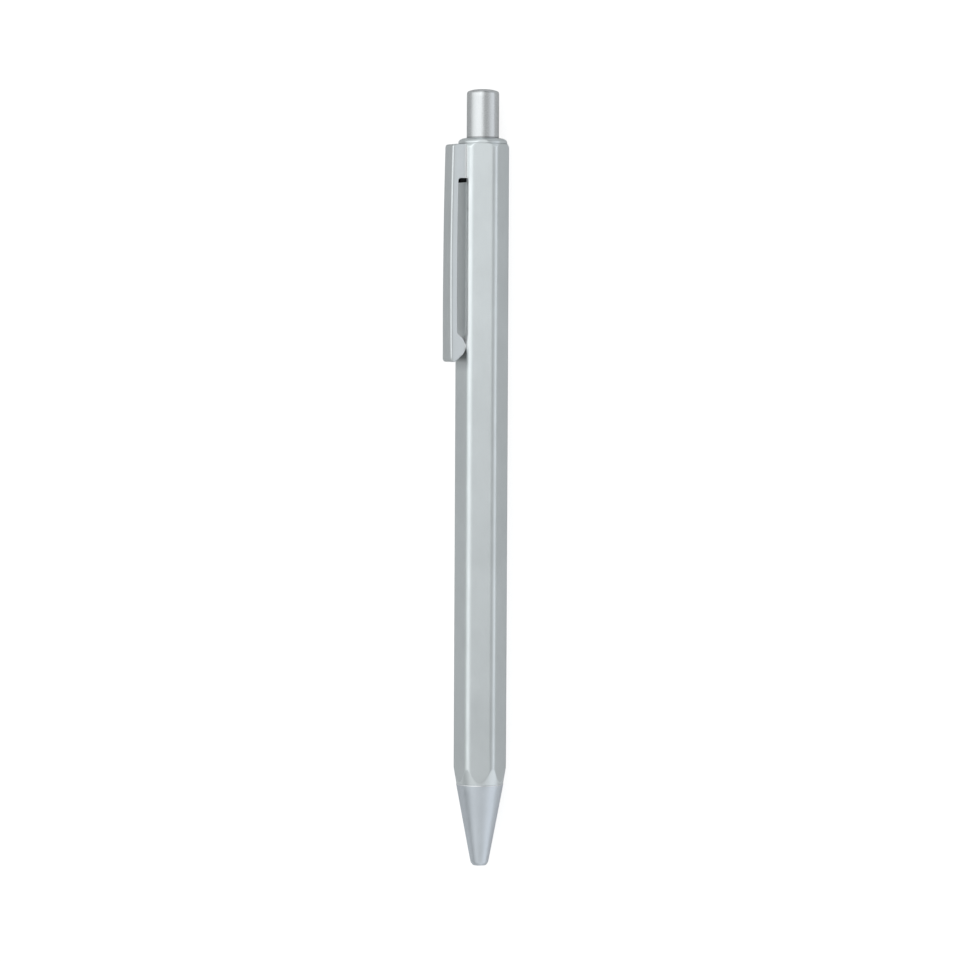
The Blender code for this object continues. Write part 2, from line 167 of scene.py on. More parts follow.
def turned(name, corners, material, body, node, sides=96, closed=True,
           steps=5, sharp=38.0):
    angles = even_angles(sides)
    rings = [ring(angles, max(r, 0.0), u) for r, u in rounded(corners, closed, steps)]
    verts, faces = skin(rings, closed)
    return piece(name, verts, faces, material, body, node, sharp)


def cut(obj, low, high, angle):
    """Takes a box (radial, across, along) out of a piece, at an angle."""
    mesh = bpy.data.meshes.new("tool")
    corners, faces = [], [(0, 1, 3, 2), (4, 6, 7, 5), (0, 4, 5, 1),
                          (2, 3, 7, 6), (0, 2, 6, 4), (1, 5, 7, 3)]
    for r in (low[0], high[0]):
        for w in (low[1], high[1]):
            for u in (low[2], high[2]):
                corners.append(at(r * math.cos(angle) - w * math.sin(angle),
                                  r * math.sin(angle) + w * math.cos(angle), u))
    mesh.from_pydata([tuple(c) for c in corners], [], faces)
    bm = bmesh.new()
    bm.from_mesh(mesh)
    bmesh.ops.recalc_face_normals(bm, faces=bm.faces)
    bm.to_mesh(mesh)
    bm.free()
    tool = bpy.data.objects.new("tool", mesh)
    bpy.context.scene.collection.objects.link(tool)
    mod = obj.modifiers.new("cut", 'BOOLEAN')
    mod.operation = 'DIFFERENCE'
    mod.solver = 'EXACT'
    mod.object = tool
    bpy.context.view_layer.update()
    made = bpy.data.meshes.new_from_object(
        obj.evaluated_get(bpy.context.evaluated_depsgraph_get()))
    obj.modifiers.remove(mod)
    obj.data = made
    bpy.data.objects.remove(tool, do_unlink=True)
    return obj


def raw(name, verts, faces):
    mesh = bpy.data.meshes.new(name)
    mesh.from_pydata([tuple(v) for v in verts], [], faces)
    bm = bmesh.new()
    bm.from_mesh(mesh)
    bmesh.ops.remove_doubles(bm, verts=bm.verts, dist=2e-7)
    bmesh.ops.recalc_face_normals(bm, faces=bm.faces)
    bm.to_mesh(mesh)
    bm.free()
    obj = bpy.data.objects.new(name, mesh)
    bpy.context.scene.collection.objects.link(obj)
    return obj


# ---------------------------------------------------------------- materials
class Finish:
    """A node material: colour, roughness and bump from procedural patterns."""

    def __init__(self, name, metallic, roughness):
        self.material = bpy.data.materials.new(name)
        self.material.use_nodes = True
        self.tree = self.material.node_tree
        self.shader = self.tree.nodes["Principled BSDF"]
        self.shader.inputs["Metallic"].default_value = metallic
        self.shader.inputs["Roughness"].default_value = roughness
        self.coords = self.tree.nodes.new("ShaderNodeTexCoord").outputs["Object"]

    def link(self, a, b):
        self.tree.links.new(a, b)

    def scaled(self, scale, spin=(0.0, 0.0, 0.0)):
        n = self.tree.nodes.new("ShaderNodeMapping")
        n.inputs["Scale"].default_value = scale
        n.inputs["Rotation"].default_value = spin
        self.link(self.coords, n.inputs["Vector"])
        return n.outputs["Vector"]

    def noise(self, scale, detail=3.0, rough=0.55, distortion=0.0):
        n = self.tree.nodes.new("ShaderNodeTexNoise")
        n.inputs["Scale"].default_value = 1.0
        n.inputs["Detail"].default_value = detail
        n.inputs["Roughness"].default_value = rough
        n.inputs["Distortion"].default_value = distortion
        if isinstance(scale, (int, float)):
            scale = (scale,) * 3
        self.link(self.scaled(scale), n.inputs["Vector"])
        return n.outputs["Fac"]

    def cells(self, scale):
        n = self.tree.nodes.new("ShaderNodeTexVoronoi")
        n.inputs["Scale"].default_value = 1.0
        self.link(self.scaled((scale,) * 3), n.inputs["Vector"])
        return n.outputs["Distance"]

    def math(self, operation, a, b=None, c=None):
        n = self.tree.nodes.new("ShaderNodeMath")
        n.operation = operation
        for i, v in enumerate((a, b, c)):
            if v is None:
                continue
            if isinstance(v, (int, float)):
                n.inputs[i].default_value = v
            else:
                self.link(v, n.inputs[i])
        return n.outputs[0]

    def ranged(self, value, low, high, to_low=0.0, to_high=1.0, smooth=False):
        n = self.tree.nodes.new("ShaderNodeMapRange")
        n.interpolation_type = 'SMOOTHSTEP' if smooth else 'LINEAR'
        n.clamp = True
        for key, v in (("From Min", low), ("From Max", high),
                       ("To Min", to_low), ("To Max", to_high)):
            n.inputs[key].default_value = v
        self.link(value, n.inputs["Value"])
        return n.outputs["Result"]

    def mix(self, fac, a, b):
        n = self.tree.nodes.new("ShaderNodeMix")
        n.data_type = 'RGBA'
        for key, v in (("A", a), ("B", b)):
            socket = next(s for s in n.inputs if s.name == key and s.type == 'RGBA')
            if isinstance(v, tuple):
                socket.default_value = (*v, 1.0)
            else:
                self.link(v, socket)
        self.link(fac, next(s for s in n.inputs if s.name == "Factor" and s.type == 'VALUE'))
        return next(s for s in n.outputs if s.type == 'RGBA')

    def split(self):
        n = self.tree.nodes.new("ShaderNodeSeparateXYZ")
        self.link(self.coords, n.inputs[0])
        return n.outputs

    def bump(self, height, distance, strength=1.0, on=None):
        n = self.tree.nodes.new("ShaderNodeBump")
        n.inputs["Distance"].default_value = distance
        n.inputs["Strength"].default_value = strength
        self.link(height, n.inputs["Height"])
        if on is not None:
            self.link(on, n.inputs["Normal"])
        return n.outputs["Normal"]

    def use(self, colour=None, roughness=None, normal=None):
        for key, v in (("Base Color", colour), ("Roughness", roughness),
                       ("Normal", normal)):
            if v is not None:
                self.link(v, self.shader.inputs[key])
        return self.material


    def on_clip_flat(self):
        """(height, side, u) in millimetres on the flat that carries the clip."""
        x, y, z = self.split()
        ca, sa = math.cos(CLIP_ANGLE) / MM, math.sin(CLIP_ANGLE) / MM
        up = self.math('SUBTRACT', z, AXIS_Z * MM)
        height = self.math('SUBTRACT', self.math('MULTIPLY', y, ca), self.math('MULTIPLY', up, sa))
        side = self.math('ADD', self.math('MULTIPLY', y, -sa), self.math('MULTIPLY', up, -ca))
        u = self.math('SUBTRACT', LENGTH / 2.0, self.math('DIVIDE', x, MM))
        return self.math('SUBTRACT', height, FLATS / 2.0), side, u

    def between(self, value, low, high, soft=0.01):
        """1 from low to high, fading over soft outside them."""
        return self.math('MULTIPLY', self.ranged(value, low - soft, low),
                         self.ranged(value, high, high + soft, 1.0, 0.0))


def tint(colour, by):
    return tuple(min(c * by, 1.0) for c in colour)


def satin_metal(name, colour, roughness, grain=11000.0, grain_depth=4e-6,
                drawn=0.0, mottle=0.04, place=None):
    """Fine blasted metal: grain, a faint draw along the pen, worn edges, and painted light and shade at some places.
    """
    f = Finish(name, 1.0, roughness)
    broad = f.noise(90.0, 2.0, 0.5)
    cloud = f.noise((220.0, 420.0, 420.0), 4.0, 0.6, 0.4)
    fine = f.noise(grain, 2.0, 0.6)
    draw = f.noise((55.0, 7000.0, 7000.0), 3.0, 0.6)
    shade = f.math('ADD', f.math('MULTIPLY', broad, 0.6), f.math('MULTIPLY', cloud, 0.4))
    base = f.mix(f.ranged(shade, 0.33, 0.67), tint(colour, 1.0 - mottle),
                 tint(colour, 1.0 + mottle))
    speck = f.ranged(f.math('ADD', f.math('MULTIPLY', fine, 1.0 - drawn),
                            f.math('MULTIPLY', draw, drawn)), 0.3, 0.7)
    base = f.mix(f.math('MULTIPLY', speck, 0.10), base, tint(colour, 0.80))
    rough = f.ranged(shade, 0.3, 0.7, roughness - 0.025, roughness + 0.03)
    rough = f.math('ADD', rough, f.ranged(speck, 0.0, 1.0, -0.02, 0.02))
    if place == "barrel":
        # the long edges are handled the most: a little brighter and smoother
        x, y, z = f.split()
        around = f.math('ARCTAN2', f.math('SUBTRACT', z, AXIS_Z * MM), y)
        turn = f.math('FRACT', f.math('ADD', f.math('DIVIDE', around, TAU / 6.0), 0.5))
        near = f.math('ABSOLUTE', f.math('SUBTRACT', turn, 0.5))
        worn = f.math('MULTIPLY', f.ranged(near, 0.16, 0.02, 0.0, 1.0, True),
                      f.ranged(f.noise((160.0, 900.0, 900.0), 5.0, 0.65), 0.42, 0.62))
        base = f.mix(f.math('MULTIPLY', worn, 0.35), base, tint(colour, 1.16))
        rough = f.math('SUBTRACT', rough, f.math('MULTIPLY', worn, 0.03))
        # painted shade on the flat under the clip, painted light on the strip beside it
        height, side, u = f.on_clip_flat()
        painted_shade_under_clip = f.math('MULTIPLY', f.between(u, NOSE_U + 3.2, POCKET_LOW, 1.2),
                      f.between(side, -1.7, 1.25, 0.4))
        painted_shade_under_clip = f.math('MULTIPLY', painted_shade_under_clip, f.math('GREATER_THAN', height, -0.2))
        painted_shade_under_clip = f.math('MULTIPLY', painted_shade_under_clip, f.ranged(cloud, 0.25, 0.7, 0.75, 1.0))
        base = f.mix(painted_shade_under_clip, base, tint(colour, 0.84))
        rough = f.math('ADD', rough, f.math('MULTIPLY', painted_shade_under_clip, 0.03))
        # painted light: the strip beside the clip is painted bright
        painted_light_beside_clip = f.math('MULTIPLY', f.between(u, NOSE_LOW + 0.5, 131.0, 0.6), f.between(side, 1.55, 2.05, 0.25))
        painted_light_beside_clip = f.math('MULTIPLY', painted_light_beside_clip, f.math('GREATER_THAN', height, -0.6))
        painted_light_beside_clip = f.math('MULTIPLY', painted_light_beside_clip, f.ranged(cloud, 0.25, 0.7, 0.8, 1.0))
        base = f.mix(painted_light_beside_clip, base, (0.93, 0.95, 0.955))
        # painted light on the flat above where the clip's nose touches and on a narrow strip beside the clip; painted
        # shadow below the nose
        wedge = f.math('MULTIPLY', f.between(u, NOSE_U, NOSE_U + 1.2, 1.0), f.between(side, -1.7, 1.75, 0.2))
        wedge = f.math('MULTIPLY', wedge, f.math('GREATER_THAN', height, -0.6))
        rough = f.math('ADD', rough, f.math('MULTIPLY', wedge, 0.22))
        bright = f.math('MAXIMUM', wedge, f.math('MULTIPLY', f.between(u, NOSE_U + 0.4, POCKET_LOW, 0.8),
                                                  f.between(side, 2.05, 2.32, 0.2)))
        bright = f.math('MULTIPLY', bright, f.math('GREATER_THAN', height, -0.6))
        base = f.mix(bright, base, (0.93, 0.95, 0.955))
        # painted shadow: the flat around the end of the clip's nose is painted darker
        painted_shadow_at_nose_end = f.math('MULTIPLY', f.between(u, NOSE_LOW - 0.2, NOSE_LOW + 1.6, 1.5), f.between(side, -1.6, 2.0, 0.5))
        painted_shadow_at_nose_end = f.math('MULTIPLY', painted_shadow_at_nose_end, f.math('GREATER_THAN', height, -0.4))
        base = f.mix(painted_shadow_at_nose_end, base, tint(colour, 0.80))
        # painted shadow: a dark band on the flat under the clip's nose
        painted_contact_shadow = f.math('MULTIPLY', f.between(u, NOSE_LOW + 0.75, NOSE_LOW + 1.4, 0.9), f.between(side, -1.5, 1.75, 0.2))
        painted_contact_shadow = f.math('MULTIPLY', painted_contact_shadow, f.math('GREATER_THAN', height, -0.4))
        painted_contact_shadow = f.math('MULTIPLY', painted_contact_shadow, f.ranged(cloud, 0.25, 0.7, 0.8, 1.0))
        base = f.mix(painted_contact_shadow, base, tint(colour, 0.32))
        rough = f.math('ADD', rough, f.math('MULTIPLY', painted_contact_shadow, 0.15))
        # the turned end is cut brighter than the drawn flats
        out = f.math('SQRT', f.math('ADD', f.math('MULTIPLY', y, y), f.math(
            'POWER', f.math('SUBTRACT', z, AXIS_Z * MM), 2.0)))
        rise = f.math('ADD', f.math('MULTIPLY', f.math('SUBTRACT', u, BARREL_BOTTOM), CHAMFER_RISE), CHAMFER_R)
        turned_end = f.ranged(f.math('SUBTRACT', f.math('DIVIDE', out, MM), rise), -0.05, -0.02)
        turned_end = f.math('MULTIPLY', turned_end, f.ranged(u, BARREL_BOTTOM + 3.6, BARREL_BOTTOM + 3.4))
        base = f.mix(turned_end, base, tint(colour, 1.10))
        # and so is the small chamfer at the top
        up = f.math('MAXIMUM', f.math('DIVIDE', f.math('SUBTRACT', u, BARREL_TOP - 0.85), 0.85), 0.0)
        limit = f.math('SUBTRACT', 4.74, f.math('MULTIPLY', f.math('MULTIPLY', up, up), 0.29))
        turned_top = f.ranged(f.math('SUBTRACT', f.math('DIVIDE', out, MM), limit), -0.05, -0.02)
        turned_top = f.math('MULTIPLY', turned_top, f.ranged(u, BARREL_TOP - 0.75, BARREL_TOP - 0.55))
        base = f.mix(turned_top, base, tint(colour, 1.20))
        # painted shade: the pocket for the clip's foot is painted near-black, standing in for the shade of a deep hole
        inside = f.math('MULTIPLY', f.between(height, -0.42, -0.085), f.between(side, -1.74, 1.74))
        inside = f.math('MULTIPLY', inside, f.between(u, POCKET_LOW - 0.05, 128.0, 0.1))
        base = f.mix(inside, base, (0.03, 0.032, 0.034))
        rough = f.math('ADD', rough, f.math('MULTIPLY', inside, 0.4))
    elif place == "clip":
        # painted light: the inside of the channel and the edges where it sits on the barrel are painted bright,
        # lifting the dark reflections between clip and barrel
        height, side, u = f.on_clip_flat()
        away = f.math('SUBTRACT', u, CLIP_PEAK)
        under = f.math('SUBTRACT', f.math('SUBTRACT', CLIP_RISE - 0.3, height),
                       f.math('MULTIPLY', f.math('MULTIPLY', away, away), CLIP_BOW))
        inside = f.math('MULTIPLY', f.ranged(under, 0.0, 0.05),
                        f.between(side, CLIP_ASIDE - 1.2, CLIP_ASIDE + 1.2))
        seat = f.ranged(height, 0.5, 0.1, 0.0, 1.0, True)
        rim = f.math('MULTIPLY', f.between(u, NOSE_U + 0.1, NOSE_U + 2.0, 0.2), f.ranged(height, 1.7, 1.3))
        rim = f.math('MULTIPLY', rim, f.between(side, CLIP_ASIDE - 1.55, CLIP_ASIDE + 1.55, 0.02))
        seat = f.math('MAXIMUM', seat, rim)
        base = f.mix(f.math('MAXIMUM', inside, f.math('MULTIPLY', seat, f.ranged(cloud, 0.25, 0.7, 0.85, 1.0))),
                     base, (0.93, 0.945, 0.95))
    elif place == "button":
        # painted shade: a thin dark line where it enters the collar
        x, y, z = f.split()
        line = f.between(f.math('SUBTRACT', LENGTH / 2.0, f.math('DIVIDE', x, MM)), COLLAR_TOP - 0.3,
                         COLLAR_TOP + 0.16, 0.1)
        line = f.math('MULTIPLY', line, f.ranged(cloud, 0.25, 0.7, 0.7, 1.0))
        base = f.mix(line, base, tint(colour, 0.42))
        rough = f.math('ADD', rough, f.math('MULTIPLY', line, 0.1))
    elif place == "nose":
        # painted highlight: a bright line on the edge at the seam
        x, y, z = f.split()
        edge = f.between(f.math('SUBTRACT', LENGTH / 2.0, f.math('DIVIDE', x, MM)), BARREL_BOTTOM - 0.16,
                         BARREL_BOTTOM, 0.05)
        edge = f.math('MULTIPLY', edge, f.ranged(cloud, 0.25, 0.7, 0.7, 1.0))
        base = f.mix(edge, base, (0.96, 0.97, 0.985))
        rough = f.math('SUBTRACT', rough, f.math('MULTIPLY', edge, 0.08))
    height = f.math('ADD', f.math('MULTIPLY', fine, 1.0 - drawn),
                    f.math('MULTIPLY', draw, drawn))
    return f.use(base, rough, f.bump(height, grain_depth))


def turned_metal(name, colour, roughness, pitch=0.06, depth=2e-6, mottle=0.06):
    """Machined metal: fine rings round the axis, uneven tone."""
    f = Finish(name, 1.0, roughness)
    rings = f.noise((1000.0 / pitch, 120.0, 120.0), 2.0, 0.5)
    cloud = f.noise(420.0, 4.0, 0.6, 0.5)
    base = f.mix(f.ranged(cloud, 0.3, 0.7), tint(colour, 1.0 - mottle),
                 tint(colour, 1.0 + mottle))
    base = f.mix(f.ranged(rings, 0.35, 0.75, 0.0, 0.16), base, tint(colour, 0.7))
    rough = f.math('ADD', f.ranged(cloud, 0.3, 0.7, roughness - 0.04, roughness + 0.05),
                   f.ranged(rings, 0.3, 0.7, -0.03, 0.03))
    return f.use(base, rough, f.bump(rings, depth))


def moulded(name, colour, roughness, depth=3e-6, mottle=0.06):
    """Moulded plastic: faint flow marks and a spark-eroded skin."""
    f = Finish(name, 0.0, roughness)
    flow = f.noise((160.0, 500.0, 500.0), 3.0, 0.6, 0.8)
    skin_grain = f.noise(9000.0, 2.0, 0.6)
    base = f.mix(f.ranged(flow, 0.3, 0.7), tint(colour, 1.0 - mottle),
                 tint(colour, 1.0 + mottle))
    rough = f.math('ADD', f.ranged(flow, 0.3, 0.7, roughness - 0.05, roughness + 0.05),
                   f.ranged(skin_grain, 0.3, 0.7, -0.03, 0.03))
    return f.use(base, rough, f.bump(skin_grain, depth))


SILVER = (0.738, 0.783, 0.798)
anodised = satin_metal("barrel_anodised", SILVER, 0.34, drawn=0.45, place="barrel")
collar_metal = satin_metal("collar_anodised", SILVER, 0.32)
button_metal = satin_metal("button_satin", (0.668, 0.688, 0.700), 0.27, drawn=0.2, place="button")
clip_metal = satin_metal("clip_plated", (0.690, 0.725, 0.738), 0.33, drawn=0.35, place="clip")
nose_metal = satin_metal("nose_blasted", (0.745, 0.797, 0.852), 0.38, grain=7000.0,
                         grain_depth=9e-6, mottle=0.05, place="nose")
brass = turned_metal("bush_brass", (0.66, 0.50, 0.25), 0.30)
neck_brass = turned_metal("neck_brass", (0.66, 0.51, 0.27), 0.28)
point_metal = turned_metal("point_nickel_silver", (0.55, 0.52, 0.46), 0.24, pitch=0.04)
tube_metal = turned_metal("tube_plated", (0.52, 0.52, 0.53), 0.28, pitch=0.12, depth=1e-6)
spring_metal = turned_metal("spring_wire", (0.42, 0.42, 0.43), 0.28, pitch=0.05, depth=1e-6)
ball_metal = turned_metal("ball_carbide", (0.45, 0.45, 0.46), 0.16, pitch=0.03, depth=3e-7)
white_plastic = moulded("white_acetal", (0.78, 0.78, 0.75), 0.45)
dark_plastic = moulded("dark_acetal", (0.055, 0.055, 0.060), 0.42, mottle=0.15)
ink_paste = moulded("ink_paste", (0.006, 0.012, 0.085), 0.30, mottle=0.2)

# ---------------------------------------------------------------- barrel
def hex_section():
    """(x, y) points round the hexagon; its edges ease out of the flats.

    Across an edge the surface turns through 60 degrees, slowly next to the
    flats and fastest at the middle, as on a drawn and tumbled tube."""
    inner = FLATS / 2.0
    count, fine = 18, 40
    # half an edge, from its middle to the flat, for an edge of unit half-length
    def turn(s):
        return math.radians(30.0) * (1.5 * s - 0.5 * s ** 3)

    x = y = 0.0
    half_edge = [(0.0, 0.0, 0.0)]
    for i in range(count // 2 * fine):
        s = (i + 0.5) / (count // 2 * fine)
        step = 1.0 / (count // 2 * fine)
        x += math.cos(turn(s)) * step
        y += math.sin(turn(s)) * step
        if (i + 1) % fine == 0:
            half_edge.append(((i + 1.0) / (count // 2 * fine), x, y))
    back = 0.1547 * EDGE_R                   # how far the edge stands back
    size = back / (x * math.tan(math.pi / 6.0) - y)
    tip = inner / math.cos(math.pi / 6.0) - back
    flat_half = inner * math.tan(math.pi / 6.0) - size * x / math.cos(math.pi / 6.0)
    pts = []
    for k in range(6):
        a = math.radians(30.0 + 60.0 * k)
        n = (math.cos(a), math.sin(a))
        t = (-math.sin(a), math.cos(a))
        for i in range(9):
            s = -flat_half + 2.0 * flat_half * i / 8.0
            pts.append((n[0] * inner + t[0] * s, n[1] * inner + t[1] * s))
        corner = a + math.radians(30.0)
        c = (math.cos(corner), math.sin(corner))
        e = (-math.sin(corner), math.cos(corner))
        edge = [(-x, y) for s, x, y in half_edge[:0:-1]] + [(x, y) for s, x, y in half_edge]
        for across, drop in edge[1:-1]:
            r = tip - size * drop
            pts.append((c[0] * r + e[0] * size * across, c[1] * r + e[1] * size * across))
    return pts


def top_limit(u):
    return 4.74 - 0.29 * (max(u - BARREL_TOP + 0.85, 0.0) / 0.85) ** 2


def chamfer(u):
    """Radius of the turned lower end, a shallow curve up from the seam."""
    d = u - BARREL_BOTTOM
    return CHAMFER_R + CHAMFER_RISE * d - CHAMFER_BEND * d * d


def chamfer_end(r):
    """Where the turned end runs out on a part of the hexagon at radius r."""
    b, c = CHAMFER_RISE, CHAMFER_BEND
    return BARREL_BOTTOM + (b - math.sqrt(max(b * b - 4.0 * c * (r - CHAMFER_R), 0.0))) / (2.0 * c)


def make_barrel():
    section = hex_section()
    radii = [math.hypot(x, y) for x, y in section]
    columns = []
    for (x, y), r in zip(section, radii):
        n = (x / r, y / r)
        line = [(CHAMFER_R - 0.012, BARREL_BOTTOM), (CHAMFER_R, BARREL_BOTTOM + 0.01),
                (chamfer(BARREL_BOTTOM + 0.04), BARREL_BOTTOM + 0.04)]
        # up the turned chamfer to where it runs out on this part of the hexagon
        crease = chamfer_end(r)
        soft = min(0.05, 0.3 * (crease - BARREL_BOTTOM - 0.04))
        for i in range(1, 9):
            u = BARREL_BOTTOM + 0.04 + (crease - soft - BARREL_BOTTOM - 0.04) * i / 8.0
            line.append((chamfer(u), u))
        line.append((0.75 * r + 0.25 * chamfer(crease - soft), crease))
        line.append((r, crease + soft))
        for i in range(1, 9):
            line.append((r, crease + soft + (21.0 - crease - soft) * i / 8.0))
        low = BARREL_TOP - 1.15
        for i in range(1, 27):
            line.append((r, 21.0 + (low - 21.0) * i / 26.0))
        for i in range(1, 15):
            u = low + 1.09 * i / 14.0
            line.append((min(r, top_limit(u)), u))
        edge = min(r, top_limit(BARREL_TOP - 0.06))
        line += [(edge - 0.018, BARREL_TOP - 0.018), (edge - 0.06, BARREL_TOP)]
        # over the top and down the stepped bore
        line += [(3.95, BARREL_TOP), (3.8, BARREL_TOP - 0.15), (3.8, 126.4), (3.8, 122.5), (3.3, 122.5),
                 (3.3, 111.0), (3.3, 100.5), (3.1, 100.5), (3.1, 60.0), (3.1, 23.1),
                 (3.65, 23.1), (3.65, BARREL_BOTTOM + 0.1), (3.75, BARREL_BOTTOM)]
        columns.append([at(n[0] * q, n[1] * q, u) for q, u in line])
    rings = [[c[i] for c in columns] for i in range(len(columns[0]))]
    obj = raw("barrel_shell", *skin(rings, True))
    cut(obj, (3.0, -0.8, BARREL_TOP - 0.8), (5.2, 0.8, 131.5), CLIP_ANGLE)
    half = CLIP_WIDTH / 2.0 + 0.03
    cut(obj, (POCKET_FLOOR, CLIP_ASIDE - half, POCKET_LOW), (5.2, CLIP_ASIDE + half, 131.0), CLIP_ANGLE)
    dress(obj, anodised, "barrel", "hex_barrel", 32.0)


# ---------------------------------------------------------------- nose
PITCH = 1.0


def thread(angles, u, crest, root, start, stop):
    """Radius of a helical thread that fades out at both ends."""
    turn = (u / PITCH - angles / TAU) % 1.0
    form = np.clip(1.25 - np.abs(turn - 0.5) * 4.0 + 0.25, 0.0, 1.0)
    fade = np.clip(min(u - start, stop - u) / 0.6, 0.0, 1.0)
    return root + (crest - root) * form * fade


def make_nose():
    sides = 96
    angles = even_angles(sides)
    seat = BARREL_BOTTOM - 0.012
    # the round end, the cone and the edge at the seam
    line = rounded([(1.15, 0.12, 0.0), (1.17, 0.0, 0.03), (1.21, 0.0, 0.08), (1.57, 0.48, 0.45),
                    (1.745, 1.28, 0.6), (4.287, seat - 0.10, 0.17), (4.18, seat, 0.01), (3.0, seat, 0.0),
                    (2.86, seat + 0.12, 0.0)], False, 6)
    rings, last = [], None
    for r, u in line:
        if last is not None and last[1] < 4.0 < u and r > 2.0:
            for i in range(1, 12):
                t = i / 12.0
                rings.append(ring(angles, last[0] + (r - last[0]) * t, last[1] + (u - last[1]) * t))
        rings.append(ring(angles, r, u))
        last = (r, u)
    first, stop = 15.0, 22.2
    for i in range(1, 62):
        u = seat + 0.12 + (stop - seat - 0.12) * i / 61.0
        rings.append(ring(angles, lambda a, u=u: thread(a, u, 3.08, 2.86, first, stop), u))
    for r, u in rounded([(2.86, 22.3, 0.0), (2.72, 22.45, 0.0), (2.4, 22.45, 0.05), (2.4, 9.1, 0.08),
                         (1.65, 9.1, 0.08), (1.65, 5.9, 0.1), (1.15, 5.0, 0.1), (1.15, 0.2, 0.0)],
                        False, 3):
        rings.append(ring(angles, r, u))
    verts, faces = skin(rings, True)
    piece("point_cone", verts, faces, nose_metal, "nose", "nose_cone", 36.0)

    rings = [ring(angles, r, u) for r, u in rounded(
        [(3.2, 15.15, 0.0), (3.6, 15.15, 0.06), (3.6, 23.0, 0.06), (3.2, 23.0, 0.0)], False, 3)]
    for i in range(0, 63):
        u = 22.9 - (22.9 - 15.22) * i / 62.0
        rings.append(ring(angles, lambda a, u=u: thread(a, u, 3.33, 3.15, 15.25, 22.8), u))
    verts, faces = skin(rings, True)
    piece("thread_bush", verts, faces, brass, "barrel", "front_thread_bush", 36.0)


# ---------------------------------------------------------------- top end
def make_top():
    under = BARREL_TOP + 0.04
    angles = even_angles(120)
    # a pillowed shoulder, fullest at the barrel
    dome = [(2.97, COLLAR_TOP - 0.2), (2.98, COLLAR_TOP - 0.06), (3.03, COLLAR_TOP - 0.015)]
    for i in range(25):
        r = 3.12 + (COLLAR_R - 3.12) * math.sin(math.radians(90.0 * i / 24.0))
        t = (r - 2.6) / (COLLAR_R - 2.6)
        dome.append((r, under + 0.05 + (COLLAR_TOP - under - 0.05) * max(1.0 - t ** 2.6, 0.0) ** (1.0 / 2.6)))
    dome += [(COLLAR_R, under + 0.04), (COLLAR_R - 0.04, under), (3.75, under), (3.75, 126.65),
             (3.65, 126.55), (3.2, 126.55), (3.2, 130.2), (2.95, 130.2), (2.95, 130.45)]

    def flush(r):
        """Nowhere out past the barrel's flats."""
        return lambda a: np.minimum(r, (FLATS / 2.0 - 0.007) / np.cos(a % (TAU / 6.0) - TAU / 12.0))

    obj = raw("end_collar", *skin([ring(angles, flush(r), u) for r, u in dome], True))
    cut(obj, (3.4, -1.6, 126.0), (4.5, 1.6, BARREL_TOP), CLIP_ANGLE)
    dress(obj, collar_metal, "barrel", "top_collar", 40.0)

    crown = [(0.0, 140.0, 0.0), (0.7, 139.985, 0.0), (1.3, 139.94, 0.0), (1.75, 139.875, 0.0),
             (2.1, 139.785, 0.0), (2.9, 139.56, 0.55), (2.9, 138.5, 0.0), (2.9, 135.0, 0.0),
             (2.9, 130.12, 0.03), (3.12, 130.12, 0.05), (3.12, 129.3, 0.05), (2.1, 129.3, 0.05),
             (2.1, 138.85, 0.2), (0.0, 138.85, 0.0)]
    turned("button_cap", crown, button_metal, "button", "push_button",
           sides=112, closed=False, steps=7)


# ---------------------------------------------------------------- clip
def clip_height(u):
    return CLIP_RISE - CLIP_BOW * (u - CLIP_PEAK) ** 2


def clip_half(u):
    """Half the clip's width; it widens a little towards its nose."""
    t = min(max((111.0 - u) / 17.0, 0.0), 1.0)
    return CLIP_WIDTH / 2.0 + 0.10 * t * t * (3.0 - 2.0 * t)


CLIP_CORNER = 0.62                              # between the face and the end of the nose
NOSE_FACE = clip_height(NOSE_LOW + CLIP_CORNER)


def nose_curve(a):
    """The clip nose's underside: a = 90 degrees at its end, 0 on the barrel."""
    p = 2.0 / 1.47
    top = NOSE_FACE - CLIP_CORNER - 0.05
    return (top - (top - CLIP_LIFT) * max(math.cos(a), 0.0) ** p,
            NOSE_U - (NOSE_U - NOSE_LOW) * max(math.sin(a), 0.0) ** p)


def smooth(points, steps):
    """A curve through points (Catmull-Rom)."""
    pts = [Vector(p) for p in points]
    pts = [2.0 * pts[0] - pts[1]] + pts + [2.0 * pts[-1] - pts[-2]]
    out = []
    for a, b, c, d in zip(pts, pts[1:], pts[2:], pts[3:]):
        for i in range(steps):
            t = i / steps
            out.append(0.5 * (2.0 * b + (c - a) * t + (2.0 * a - 5.0 * b + 4.0 * c - d) * t * t
                              + (3.0 * b - a - 3.0 * c + d) * t ** 3))
    return [tuple(v) for v in out + [pts[-2]]]


def along(points, count, spread=None):
    """count + 1 points evenly along a line of points."""
    pts = [Vector(p) for p in points]
    where = [0.0]
    for a, b in zip(pts, pts[1:]):
        where.append(where[-1] + (b - a).length)
    out, k = [], 0
    for i in range(count + 1):
        s = where[-1] * (i / count if spread is None else spread(i / count))
        while k < len(pts) - 2 and where[k + 1] < s:
            k += 1
        span = where[k + 1] - where[k]
        out.append(pts[k].lerp(pts[k + 1], 0.0 if span <= 0.0 else (s - where[k]) / span))
    return out


def outer_face(u0, u1, n=24):
    return [(clip_height(u0 + (u1 - u0) * i / n), u0 + (u1 - u0) * i / n) for i in range(n + 1)]


